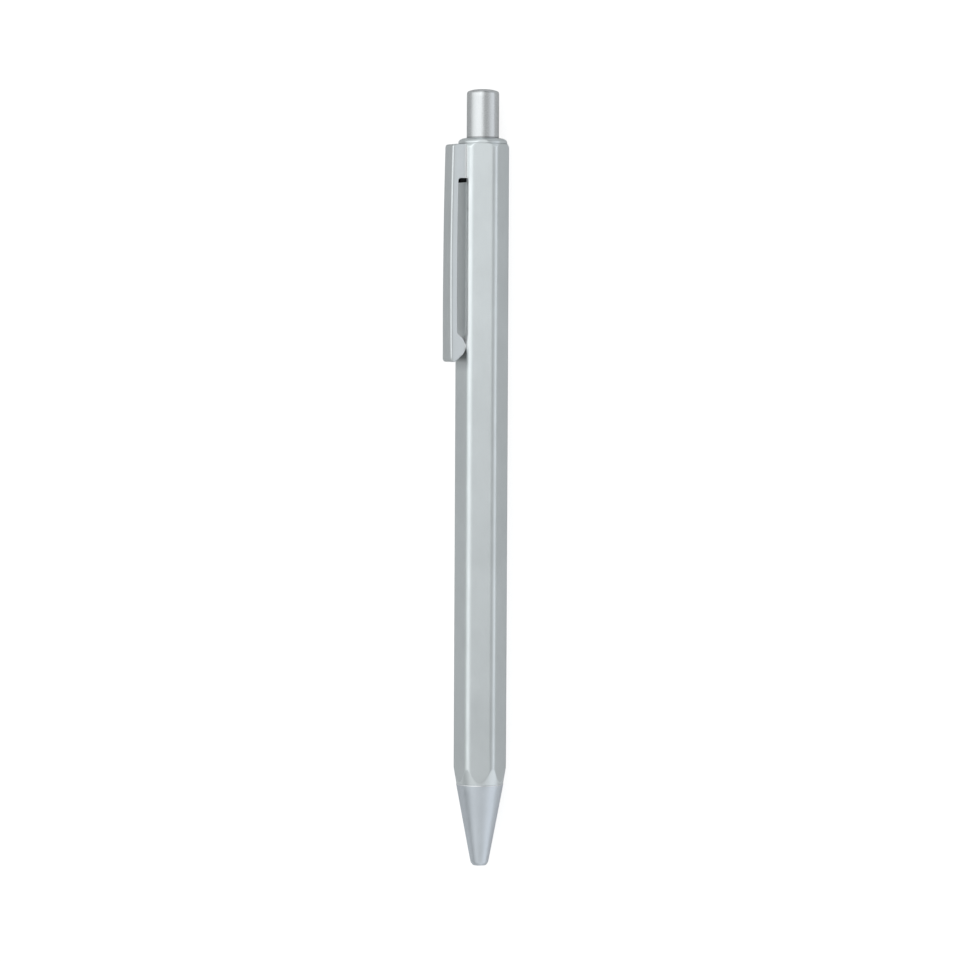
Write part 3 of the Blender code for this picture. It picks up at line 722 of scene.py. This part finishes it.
def make_clip():
    last = math.radians(38.0)         # the closed end wraps under to here
    corner = 0.55
    head = clip_height(CLIP_TOP - corner)
    shut = (CLIP_FOOT, CLIP_TOP + 0.15)     # the top closes up to the collar
    top = [shut, (head - corner, CLIP_TOP)]
    top += [(head - corner + corner * math.sin(math.radians(9 * i)),
             CLIP_TOP - corner + corner * math.cos(math.radians(9 * i))) for i in range(1, 11)]
    edge = clip_height(CLIP_HEAD) - CLIP_ARM
    bend = 0.5
    step = [(CLIP_FOOT, CLIP_HEAD), (edge - bend, CLIP_HEAD)]
    step += [(edge - bend + bend * math.sin(math.radians(9 * i)),
              CLIP_HEAD - bend + bend * math.cos(math.radians(9 * i))) for i in range(1, 11)]
    back = NOSE_U + 2.95
    arm = [(clip_height(u) - CLIP_ARM, u) for u in np.linspace(CLIP_HEAD - bend, back, 30)]
    rim_top = clip_height(back) - CLIP_ARM
    # a quick bend out of the arm, then a full round flank down to the barrel
    foot = smooth([(rim_top, back), (rim_top - 0.012, NOSE_U + 2.64), (rim_top - 0.115, NOSE_U + 2.33),
                   (rim_top - 0.52, NOSE_U + 1.98), (0.89, NOSE_U + 1.625), (0.53, NOSE_U + 1.215),
                   (0.26, NOSE_U + 0.735), (0.085, NOSE_U + 0.32), (CLIP_LIFT, NOSE_U)], 6)
    under_rim = [nose_curve(last * i / 16.0) for i in range(17)]
    tip = outer_face(93.6, NOSE_LOW + CLIP_CORNER, 8)
    tip += [(NOSE_FACE - CLIP_CORNER + CLIP_CORNER * math.cos(math.radians(8 * i)),
             NOSE_LOW + CLIP_CORNER - CLIP_CORNER * math.sin(math.radians(8 * i))) for i in range(1, 11)]
    tip += [nose_curve(math.radians(90.0) + (last - math.radians(90.0)) * i / 24.0) for i in range(25)]

    # matching stretches of the outer face (or end) and of the rim below it
    stretches = [
        (top + outer_face(CLIP_TOP - corner, 129.2, 3), [shut, (CLIP_FOOT, 129.2)], 30),
        (outer_face(129.2, 124.7), [(CLIP_FOOT, 129.2), (CLIP_FOOT, CLIP_HEAD)], 12),
        (outer_face(124.7, 123.0), step, 16),
        (outer_face(123.0, 97.0), arm, 40),
        (outer_face(97.0, 93.6), foot, 30),
        (tip, under_rim, 40),
    ]
    outer, rim = [], []
    for face, low, count in stretches:
        a, b = along(face, count), along(low, count)
        skip = 1 if outer else 0
        outer += a[skip:]
        rim += b[skip:]
    n = len(outer)
    end_in = Vector(nose_curve(last))
    tangents = [(outer[min(i + 1, n - 1)] - outer[max(i - 1, 0)]).normalized() for i in range(n)]
    inward = [Vector((t.y, -t.x)) for t in tangents]
    end_in = end_in + inward[-1] * CLIP_WALL

    # the channel inside: the face's underside, and the same rim
    first_tip = n - 41
    tip_in = along([tuple(outer[first_tip] + inward[first_tip] * CLIP_WALL),
                    (NOSE_FACE - 0.59, NOSE_LOW + 1.12), (NOSE_FACE - 0.69, NOSE_LOW + 0.72),
                    (NOSE_FACE - 0.99, NOSE_LOW + 0.55), (NOSE_FACE - 1.34, NOSE_LOW + 0.62), tuple(end_in)], 40)
    inner, inner_rim = [], []
    for i in range(n):
        if i >= first_tip:
            p = tip_in[i - first_tip]
        else:
            u = min(outer[i].y, CLIP_TOP - 0.55)
            p = Vector((min(outer[i].x, clip_height(u) - CLIP_WALL), u))
        q = Vector((rim[i].x, min(rim[i].y, CLIP_TOP - 0.55)))
        if i >= n - 8:
            q = q.lerp(end_in, ((i - (n - 9)) / 8.0) ** 2)
        inner.append(p)
        inner_rim.append(q)
    inner[0] = inner_rim[0] = Vector((CLIP_FOOT, CLIP_TOP - 0.55))
    inner[-1] = inner_rim[-1] = end_in

    flat = FLATS / 2.0
    ca, sa = math.cos(CLIP_ANGLE), math.sin(CLIP_ANGLE)

    # the barrel's surface under the clip, from the middle of the flat outwards
    across, drop = [], []
    for x, y in hex_section():
        t, d = x * math.sin(CLIP_ANGLE) - y * math.cos(CLIP_ANGLE), flat - x * ca - y * sa
        if abs(t) < 2.6 and d < 1.5:
            across.append(t)
            drop.append(d)
    order = np.argsort(across)
    across, drop = np.array(across)[order], np.array(drop)[order]

    def world(p, side):
        side = side + CLIP_ASIDE
        # its lowest edge follows the barrel's rounding
        low = min(max(0.0, 1.0 - p.x / 0.4), 1.0) * np.interp(side, across, drop)
        out = flat + p.x - low
        return at(out * ca - side * sa, out * sa + side * ca, p.y)

    def rounding(i):
        """Radius along the outer face's edges, less on the two ends."""
        if i <= 30:
            t = min(max((i - 16) / 12.0, 0.0), 1.0)
            return (0.12 + (CLIP_EDGE - 0.12) * t * t * (3.0 - 2.0 * t)) * min(1.0, i / 2.0)
        if i >= first_tip:
            t = (i - first_tip) / 40.0
            return CLIP_EDGE * (1.0 - 0.22 * min(t / 0.3, 1.0)) * min(1.0, (1.0 - t) / 0.12)
        return CLIP_EDGE

    def outer_line(i):
        e, half = rounding(i), clip_half(outer[i].y)
        p, q, inw = outer[i], rim[i], inward[i]
        start = p + inw * e
        run = start - q
        small = min(0.02, 0.3 * run.length)
        d = run.normalized() if run.length > 1e-6 else Vector((0.0, 0.0))
        side = [(q, half - small), (q + d * small * 0.293, half - small * 0.293), (q + d * small, half)]
        for k in range(1, 7):
            side.append((q + d * small + (start - q - d * small) * (k / 6.0), half))
        for k in range(1, 8):
            b = math.radians(90.0 * k / 7.0)
            side.append((p + inw * (e - e * math.sin(b)), half - e + e * math.cos(b)))
        return side + [(s, -w) for s, w in reversed(side)], e

    def inner_line(i):
        p, q = inner[i], inner_rim[i]
        run = p - q
        small = min(0.02, 0.3 * run.length)
        d = run.normalized() if run.length > 1e-6 else Vector((0.0, 0.0))
        w = clip_half(outer[i].y) - CLIP_WALL
        side = [(q, w + small), (q + d * small * 0.293, w + small * 0.293), (q + d * small, w)]
        for k in range(1, 7):
            side.append((q + d * small + (p - q - d * small) * (k / 6.0), w))
        for k in range(1, 8):
            side.append((p, w * (1.0 - 0.12 * k / 7.0)))
        return side + [(s, -v) for s, v in reversed(side)]

    rows_out = [[world(s, w) for s, w in outer_line(i)[0]] for i in range(n)]
    rows_in = [[world(s, w) for s, w in inner_line(i)] for i in range(n)]
    m = len(rows_out[0])
    verts = [p for r in rows_out for p in r] + [p for r in rows_in for p in r]
    base = n * m
    faces = []
    for i in range(n - 1):
        for j in range(m - 1):
            a = i * m + j
            faces.append((a, a + 1, a + m + 1, a + m))
            b = base + a
            faces.append((b, b + m, b + m + 1, b + 1))
        for j in (0, m - 1):
            a, b = i * m + j, base + i * m + j
            faces.append((a, a + m, b + m, b) if j == 0 else (a, b, b + m, a + m))
    for i in (0, n - 1):
        for j in range(m - 1):
            a, b = i * m + j, base + i * m + j
            faces.append((a, b, b + 1, a + 1) if i == 0 else (a, a + 1, b + 1, b))
    piece("pocket_clip", verts, faces, clip_metal, "clip_arm", "clip", 34.0)

    # the tongue hooked over the barrel's edge
    line = rounded([(flat - 0.07, 129.95, 0.05), (flat - 0.07, 129.45, 0.05), (3.68, 129.45, 0.06),
                    (3.68, 127.2, 0.08), (3.45, 127.2, 0.08), (3.45, 129.95, 0.2)], True, 4)
    rings = []
    for side, shrink in ((-0.7, 0.04), (-0.66, 0.0), (0.66, 0.0), (0.7, 0.04)):
        cx = sum(r for r, u in line) / len(line)
        cu = sum(u for r, u in line) / len(line)
        row = []
        for r, u in line:
            q, v = r + math.copysign(shrink, cx - r) * 0.5, u + math.copysign(shrink, cu - u) * 0.5
            row.append(at(q * ca - side * sa, q * sa + side * ca, v))
        rings.append(row)
    verts, faces = skin(rings, False)
    k = len(line)
    faces += [tuple(range(k)), tuple(range(3 * k, 4 * k))]
    piece("clip_tongue", verts, faces, clip_metal, "barrel", "clip_tang", 34.0)


# ---------------------------------------------------------------- mechanism
def lug_angles(width, low_r, high_r, count, turn):
    """Angles round the axis with lines on the sides of evenly spaced lugs."""
    inner = math.asin(width / 2.0 / low_r)
    outer_a = math.asin(width / 2.0 / high_r)
    lo, hi = max(inner, outer_a), min(inner, outer_a)
    marks = []
    for k in range(count):
        c = turn + TAU * k / count
        marks += [c - lo] + [c + hi * (i / 3.0) for i in range(-3, 4)] + [c + lo]
        gap = TAU / count - 2.0 * lo
        marks += [c + lo + gap * (i / 9.0) for i in range(1, 9)]
    return np.array(marks), hi


def lug_radius(base, high, count, turn, reach):
    def r(angles):
        off = (angles - turn + math.pi / count) % (TAU / count) - math.pi / count
        return np.where(np.abs(off) <= reach + 1e-6, high, base)
    return r


def teeth(low, high, count, phase):
    def u(angles):
        t = (angles - phase) * count / TAU % 1.0
        return low + (high - low) * np.abs(2.0 * t - 1.0)
    return u


def make_mechanism():
    # plunger: stem, flange, four guide lugs, toothed end
    angles, reach = lug_angles(1.0, 2.05, 2.62, 4, 0.0)
    lug = lug_radius(2.05, 2.62, 4, 0.0, reach)
    end = teeth(112.2, 112.9, 8, math.radians(5.625))
    rings = [ring(angles, r, u) for r, u in rounded(
        [(0.0, 138.7, 0.0), (2.05, 138.7, 0.2), (2.05, 129.24, 0.05), (2.9, 129.24, 0.08),
         (2.9, 128.55, 0.08), (2.05, 128.55, 0.1), (2.05, 120.0, 0.0)], False, 4)]
    rings += [ring(angles, 2.05, 116.4), ring(angles, lug, 116.4), ring(angles, lug, 113.3),
              ring(angles, 2.05, 113.3), ring(angles, 2.05, end), ring(angles, 1.15, end),
              ring(angles, 1.15, 118.0), ring(angles, 1.15, 126.0), ring(angles, 0.0, 126.0)]
    verts, faces = skin(rings, False)
    piece("plunger_stem", verts, faces, white_plastic, "button", "thrust_plunger", 30.0)

    # rotor: four lugs with sloped tops, toothed top, spigot in the plunger
    turn = math.radians(-11.25)
    angles, reach = lug_angles(1.0, 2.05, 2.62, 4, turn)
    lug = lug_radius(2.05, 2.62, 4, turn, reach)

    def slope(a):
        off = (a - turn + math.pi / 4) % (TAU / 4) - math.pi / 4
        return 110.6 + 0.6 * np.clip(off / (2.0 * reach) + 0.5, 0.0, 1.0) * (np.abs(off) <= reach + 0.06)

    end = teeth(112.05, 111.35, 8, math.radians(5.625) + turn)
    rings = [ring(angles, r, u) for r, u in ((0.0, 104.0), (1.15, 104.0), (1.15, 108.0))]
    rings += [ring(angles, 1.15, end), ring(angles, 2.05, end), ring(angles, 2.05, slope),
              ring(angles, lug, slope), ring(angles, lug, 108.4), ring(angles, 2.05, 108.4)]
    rings += [ring(angles, r, u) for r, u in ((2.05, 104.0), (2.05, 100.3), (1.95, 100.12), (1.8, 100.0),
                                              (0.0, 100.0))]
    verts, faces = skin(rings, False)
    piece("indexing_rotor", verts, faces, dark_plastic, "rotor", "rotor_cam", 30.0)

    # sleeve: four ribs inside, sloped at their lower ends
    turn = math.radians(45.0)
    angles, reach = lug_angles(1.5, 2.75, 2.15, 4, turn)
    inner_hi = math.asin(0.75 / 2.15)
    inner_lo = math.asin(0.75 / 2.75)
    rib = lug_radius(2.75, 2.15, 4, turn, inner_lo)

    def foot(a):
        off = (a - turn + math.pi / 4) % (TAU / 4) - math.pi / 4
        return 107.0 + 0.8 * np.clip(off / (2.0 * inner_lo) + 0.5, 0.0, 1.0) * (np.abs(off) <= inner_hi)

    rings = [ring(angles, r, u) for r, u in rounded(
        [(3.2, 126.45, 0.0), (3.75, 126.45, 0.08), (3.75, 122.6, 0.05), (3.25, 122.6, 0.05),
         (3.25, 100.6, 0.08), (2.75, 100.6, 0.06), (2.75, 104.0, 0.0)], False, 3)]
    rings += [ring(angles, 2.75, foot), ring(angles, rib, foot), ring(angles, rib, 121.7),
              ring(angles, 2.75, 121.7), ring(angles, 2.75, 122.1), ring(angles, 3.2, 122.5)]
    verts, faces = skin(rings, True)
    piece("guide_sleeve", verts, faces, white_plastic, "barrel", "cam_sleeve", 30.0)


def make_spring():
    r_coil, r_wire = 1.98, 0.18
    low, high = 9.1 + r_wire + 0.02, 29.3 - r_wire - 0.02
    ends, middle, per = 1.5, 8.0, 40
    dead = 0.42
    live = (high - low - 2.0 * ends * dead) / middle
    total = int((2.0 * ends + middle) * per)
    rings = []
    for i in range(total + 1):
        t = i / per
        u = low + dead * min(t, ends) + live * min(max(t - ends, 0.0), middle) \
            + dead * max(t - ends - middle, 0.0)
        a = TAU * t
        rise = (live if ends < t < ends + middle else dead) / (TAU * r_coil)
        e = Vector((math.cos(a), math.sin(a), 0.0))
        f = Vector((-math.sin(a) * rise, math.cos(a) * rise, -1.0)).normalized()
        w = r_wire * (min(1.0, 0.35 + i / 4.0) if i < 4 else
                      min(1.0, 0.35 + (total - i) / 4.0) if total - i < 4 else 1.0)
        row = []
        for k in range(14):
            b = TAU * k / 14.0
            p = e * (r_coil + w * math.cos(b)) - f * (w * math.sin(b))
            row.append(at(p.x, p.y, u + p.z))
        rings.append(row)
    verts, faces = skin(rings, False)
    n, m = 14, len(rings)
    faces += [tuple(range(n)), tuple(range((m - 1) * n, m * n))]
    obj = piece("spring_coil", verts, faces, spring_metal, "barrel", "return_spring", 50.0)
    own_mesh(obj)


# ---------------------------------------------------------------- refill
def make_refill():
    turned("refill_body", [(2.55, 30.1, 0.0), (2.95, 30.1, 0.08), (2.95, 31.2, 0.0), (2.90, 31.45, 0.1),
                           (2.90, 31.75, 0.1), (2.95, 32.0, 0.0), (2.95, 94.0, 0.0), (2.90, 94.25, 0.1),
                           (2.90, 94.6, 0.1), (2.95, 94.85, 0.0), (2.95, 95.95, 0.08), (2.55, 95.95, 0.05)],
           tube_metal, "refill", "refill_tube", sides=80, steps=3)
    turned("refill_neck", [(0.6, 33.0, 0.0), (2.45, 33.0, 0.06), (2.45, 30.04, 0.0), (2.9, 30.04, 0.05),
                           (2.9, 29.5, 0.08), (2.78, 29.3, 0.06), (1.5, 29.3, 0.06), (1.5, 20.0, 0.0),
                           (1.5, 13.6, 0.0), (1.44, 13.45, 0.05), (1.44, 13.25, 0.05), (1.5, 13.1, 0.0),
                           (1.5, 12.5, 0.06), (1.35, 12.15, 0.06), (1.0, 12.15, 0.04), (1.0, 14.2, 0.0),
                           (0.6, 14.2, 0.0)],
           neck_brass, "refill", "refill_front_sleeve", sides=72, steps=3)
    ball_u, socket, mouth = 2.3, 0.53, 2.05
    point = [(0.3, 14.1, 0.0), (0.93, 14.1, 0.05), (0.93, 12.05, 0.0), (1.1, 12.05, 0.06), (1.1, 5.4, 0.2),
             (1.02, 4.7, 0.2), (0.62, 2.3, 0.1), (0.55, mouth, 0.03)]
    start, stop = math.asin((mouth - ball_u) / socket), math.acos(0.3 / socket)
    for i in range(9):
        a = start + (stop - start) * i / 8.0
        point.append((socket * math.cos(a), ball_u + socket * math.sin(a), 0.0))
    turned("refill_tip", point, point_metal, "refill", "refill_point", sides=64, steps=3)

    rings = []
    angles = even_angles(40)
    for i in range(25):
        a = math.pi * i / 24.0
        rings.append(ring(angles, 0.5 * math.sin(a), ball_u - 0.5 * math.cos(a)))
    verts, faces = skin(rings, False)
    piece("rolling_ball", verts, faces, ball_metal, "ball", "writing_ball", 60.0)

    notch = teeth(99.9, 98.7, 6, math.radians(3.0))

    def end(a):
        return np.maximum(notch(a), 98.7)

    angles = even_angles(96, math.radians(3.0))
    rings = [ring(angles, r, u) for r, u in rounded(
        [(0.5, 92.5, 0.0), (2.48, 92.5, 0.08), (2.48, 96.0, 0.0), (2.95, 96.0, 0.05), (2.95, 98.4, 0.0)], False, 3)]
    rings += [ring(angles, 2.95, end), ring(angles, 0.5, end)]
    verts, faces = skin(rings, True)
    piece("rear_plug", verts, faces, dark_plastic, "refill", "refill_end_plug", 30.0)

    turned("ink_column", [(0.0, 33.2, 0.0), (2.44, 33.2, 0.1), (2.44, 79.6, 0.1), (2.0, 80.0, 0.3),
                          (1.0, 79.8, 0.3), (0.0, 79.75, 0.0)],
           ink_paste, "refill", "refill_ink", sides=64, closed=False, steps=4)


make_barrel()
make_nose()
make_top()
make_clip()
make_mechanism()
make_spring()
make_refill()


# ---------------------------------------------------------------- stage
FLOOR_PALE = 0.68
FLOOR_TONE, FLOOR_GLOW = 0.40, 0.79


def make_floor():
    mesh = bpy.data.meshes.new("floor")
    bm = bmesh.new()
    bmesh.ops.create_grid(bm, x_segments=8, y_segments=8, size=3.0)
    bmesh.ops.translate(bm, verts=bm.verts, vec=(0.0, 0.0, -2e-5))
    bm.to_mesh(mesh)
    bm.free()
    floor = bpy.data.objects.new("floor", mesh)
    bpy.context.scene.collection.objects.link(floor)
    f = Finish("pale_floor", 0.0, 0.9)
    grain = f.ranged(f.noise(3.0, 2.0, 0.5), 0.3, 0.7, FLOOR_PALE - 0.01, FLOOR_PALE + 0.01)
    f.use(f.mix(grain, (0.0, 0.0, 0.0), (1.0, 1.0, 1.0)))
    # the picture itself shows it as an overexposed white sweep
    pale = f.tree.nodes.new("ShaderNodeBsdfDiffuse")
    pale.inputs["Color"].default_value = (FLOOR_TONE,) * 3 + (1.0,)
    glow = f.tree.nodes.new("ShaderNodeEmission")
    glow.inputs["Strength"].default_value = FLOOR_GLOW
    both = f.tree.nodes.new("ShaderNodeAddShader")
    f.link(pale.outputs[0], both.inputs[0])
    f.link(glow.outputs[0], both.inputs[1])
    seen = f.tree.nodes.new("ShaderNodeMixShader")
    f.link(f.tree.nodes.new("ShaderNodeLightPath").outputs["Is Camera Ray"], seen.inputs[0])
    f.link(f.shader.outputs[0], seen.inputs[1])
    f.link(both.outputs[0], seen.inputs[2])
    f.link(seen.outputs[0], f.tree.nodes["Material Output"].inputs["Surface"])
    floor.data.materials.append(f.material)


def make_light():
    """Soft studio light: a broad bright side, a dimmer one, a gap between."""
    world = bpy.data.worlds.new("studio")
    bpy.context.scene.world = world
    world.use_nodes = True
    tree = world.node_tree
    tree.nodes.clear()

    def add(kind):
        return tree.nodes.new(kind)

    def calc(operation, a, b=None):
        n = add("ShaderNodeMath")
        n.operation = operation
        for i, v in enumerate((a, b)):
            if v is None:
                continue
            if isinstance(v, (int, float)):
                n.inputs[i].default_value = v
            else:
                tree.links.new(v, n.inputs[i])
        return n.outputs[0]

    way = add("ShaderNodeSeparateXYZ")
    tree.links.new(add("ShaderNodeTexCoord").outputs["Generated"], way.inputs[0])
    x, y, z = way.outputs
    # angle from straight up, round the pen's axis: left is negative
    turn = calc('ARCTAN2', y, z)
    place = calc('ADD', calc('DIVIDE', turn, TAU), 0.5)
    def levels(stops, top):
        """A smooth level by the angle round the pen, from (degrees, level) stops."""
        ramp = add("ShaderNodeValToRGB")
        ramp.color_ramp.interpolation = 'EASE'
        while len(ramp.color_ramp.elements) < len(stops):
            ramp.color_ramp.elements.new(0.5)
        for e, (deg, level) in zip(ramp.color_ramp.elements, stops):
            e.position = deg / 360.0 + 0.5
            e.color = (level / top, level / top, level / top, 1.0)
        tree.links.new(place, ramp.inputs["Fac"])
        return calc('MULTIPLY', ramp.outputs["Color"], top)

    def ease(value, low, high, to_low, to_high):
        n = add("ShaderNodeMapRange")
        n.interpolation_type = 'SMOOTHSTEP'
        for key, v in (("From Min", low), ("From Max", high), ("To Min", to_low), ("To Max", to_high)):
            n.inputs[key].default_value = v
        tree.links.new(value, n.inputs["Value"])
        return n.outputs["Result"]

    # a long box on the left, a gap overhead, a dimmer box on the right
    main = levels([(-180, 0.46), (-98, 0.46), (-86, 0.76), (-66, 1.05), (-38, 1.23), (-16, 1.03), (-2, 0.71),
                   (9, 0.47), (21, 0.42), (38, 0.56), (62, 0.86), (78, 0.94), (94, 0.95), (180, 0.5)], 2.0)
    slope = levels([(-180, 1.6), (-34, 1.6), (-10, 5.6), (4, 5.6), (20, 2.3), (44, 0.8), (70, 0.8),
                    (90, 0.0), (180, 0.0)], 8.0)
    main = calc('MULTIPLY', main, calc('MINIMUM', calc('MAXIMUM', calc(
        'SUBTRACT', 1.0, calc('MULTIPLY', slope, calc('SUBTRACT', calc('MAXIMUM', x, -0.16), 0.034))), 0.40), 2.0))
    # dimmer far up beyond the button
    far = ease(x, -0.17, -0.52, 0.0, 1.0)
    main = calc('MULTIPLY', main, calc('SUBTRACT', 1.0, calc('MULTIPLY', far, 0.44)))
    # the left box stops short of the writing end
    end = levels([(-180, 0.09), (-98, 0.09), (-86, 0.14), (-70, 0.33), (-54, 0.60), (-40, 0.70), (-20, 0.69),
                  (14, 0.68), (28, 0.715), (46, 0.81), (62, 0.87), (92, 0.88), (180, 0.5)], 2.0)
    past = ease(x, 0.19, 0.45, 0.0, 1.0)
    level = calc('ADD', main, calc('MULTIPLY', past, calc('SUBTRACT', end, main)))
    light = add("ShaderNodeBackground")
    # the left box is a little green, the right one a little blue
    cast = add("ShaderNodeValToRGB")
    tones = [(-180, (1.0, 1.0, 1.0)), (-110, (0.965, 1.0, 0.985)), (-50, (0.985, 1.0, 1.0)),
             (30, (0.985, 1.0, 1.0)), (70, (0.972, 1.0, 1.03)), (120, (0.972, 1.0, 1.03)), (180, (1.0, 1.0, 1.0))]
    while len(cast.color_ramp.elements) < len(tones):
        cast.color_ramp.elements.new(0.5)
    for e, (deg, tone) in zip(cast.color_ramp.elements, tones):
        e.position = deg / 360.0 + 0.5
        e.color = (*tone, 1.0)
    tree.links.new(place, cast.inputs["Fac"])
    tree.links.new(cast.outputs["Color"], light.inputs["Color"])
    tree.links.new(level, light.inputs["Strength"])
    plain = add("ShaderNodeBackground")
    plain.inputs["Color"].default_value = (1.0, 1.0, 1.0, 1.0)
    plain.inputs["Strength"].default_value = 1.0
    mix = add("ShaderNodeMixShader")
    tree.links.new(add("ShaderNodeLightPath").outputs["Is Camera Ray"], mix.inputs[0])
    tree.links.new(light.outputs[0], mix.inputs[1])
    tree.links.new(plain.outputs[0], mix.inputs[2])
    tree.links.new(mix.outputs[0], add("ShaderNodeOutputWorld").inputs["Surface"])


def make_camera():
    data = bpy.data.cameras.new("camera")
    distance = 670.0 * MM
    view = 173.53 * MM                       # height of the picture at the pen's axis
    data.sensor_width = 36.0
    data.lens = data.sensor_width * distance / view
    data.clip_start, data.clip_end = 0.01, 20.0
    cam = bpy.data.objects.new("camera", data)
    bpy.context.scene.collection.objects.link(cam)
    # nearly straight down, a little from the button end, which is up in the
    # picture and leans a little to the right
    tip, lean = math.radians(2.33), math.radians(0.28)
    aim = Vector((0.44 * MM, -0.03 * MM, AXIS_Z * MM))
    cam.location = aim + Vector((-math.sin(tip), 0.0, math.cos(tip))) * distance
    cam.rotation_euler = (Matrix.Rotation(-tip, 3, 'Y')
                          @ Matrix.Rotation(math.radians(90.0) + lean, 3, 'Z')).to_euler()
    bpy.context.scene.camera = cam


make_floor()
make_light()
make_camera()
bpy.context.scene.view_settings.view_transform = 'Standard'
bpy.context.scene.view_settings.look = 'None'
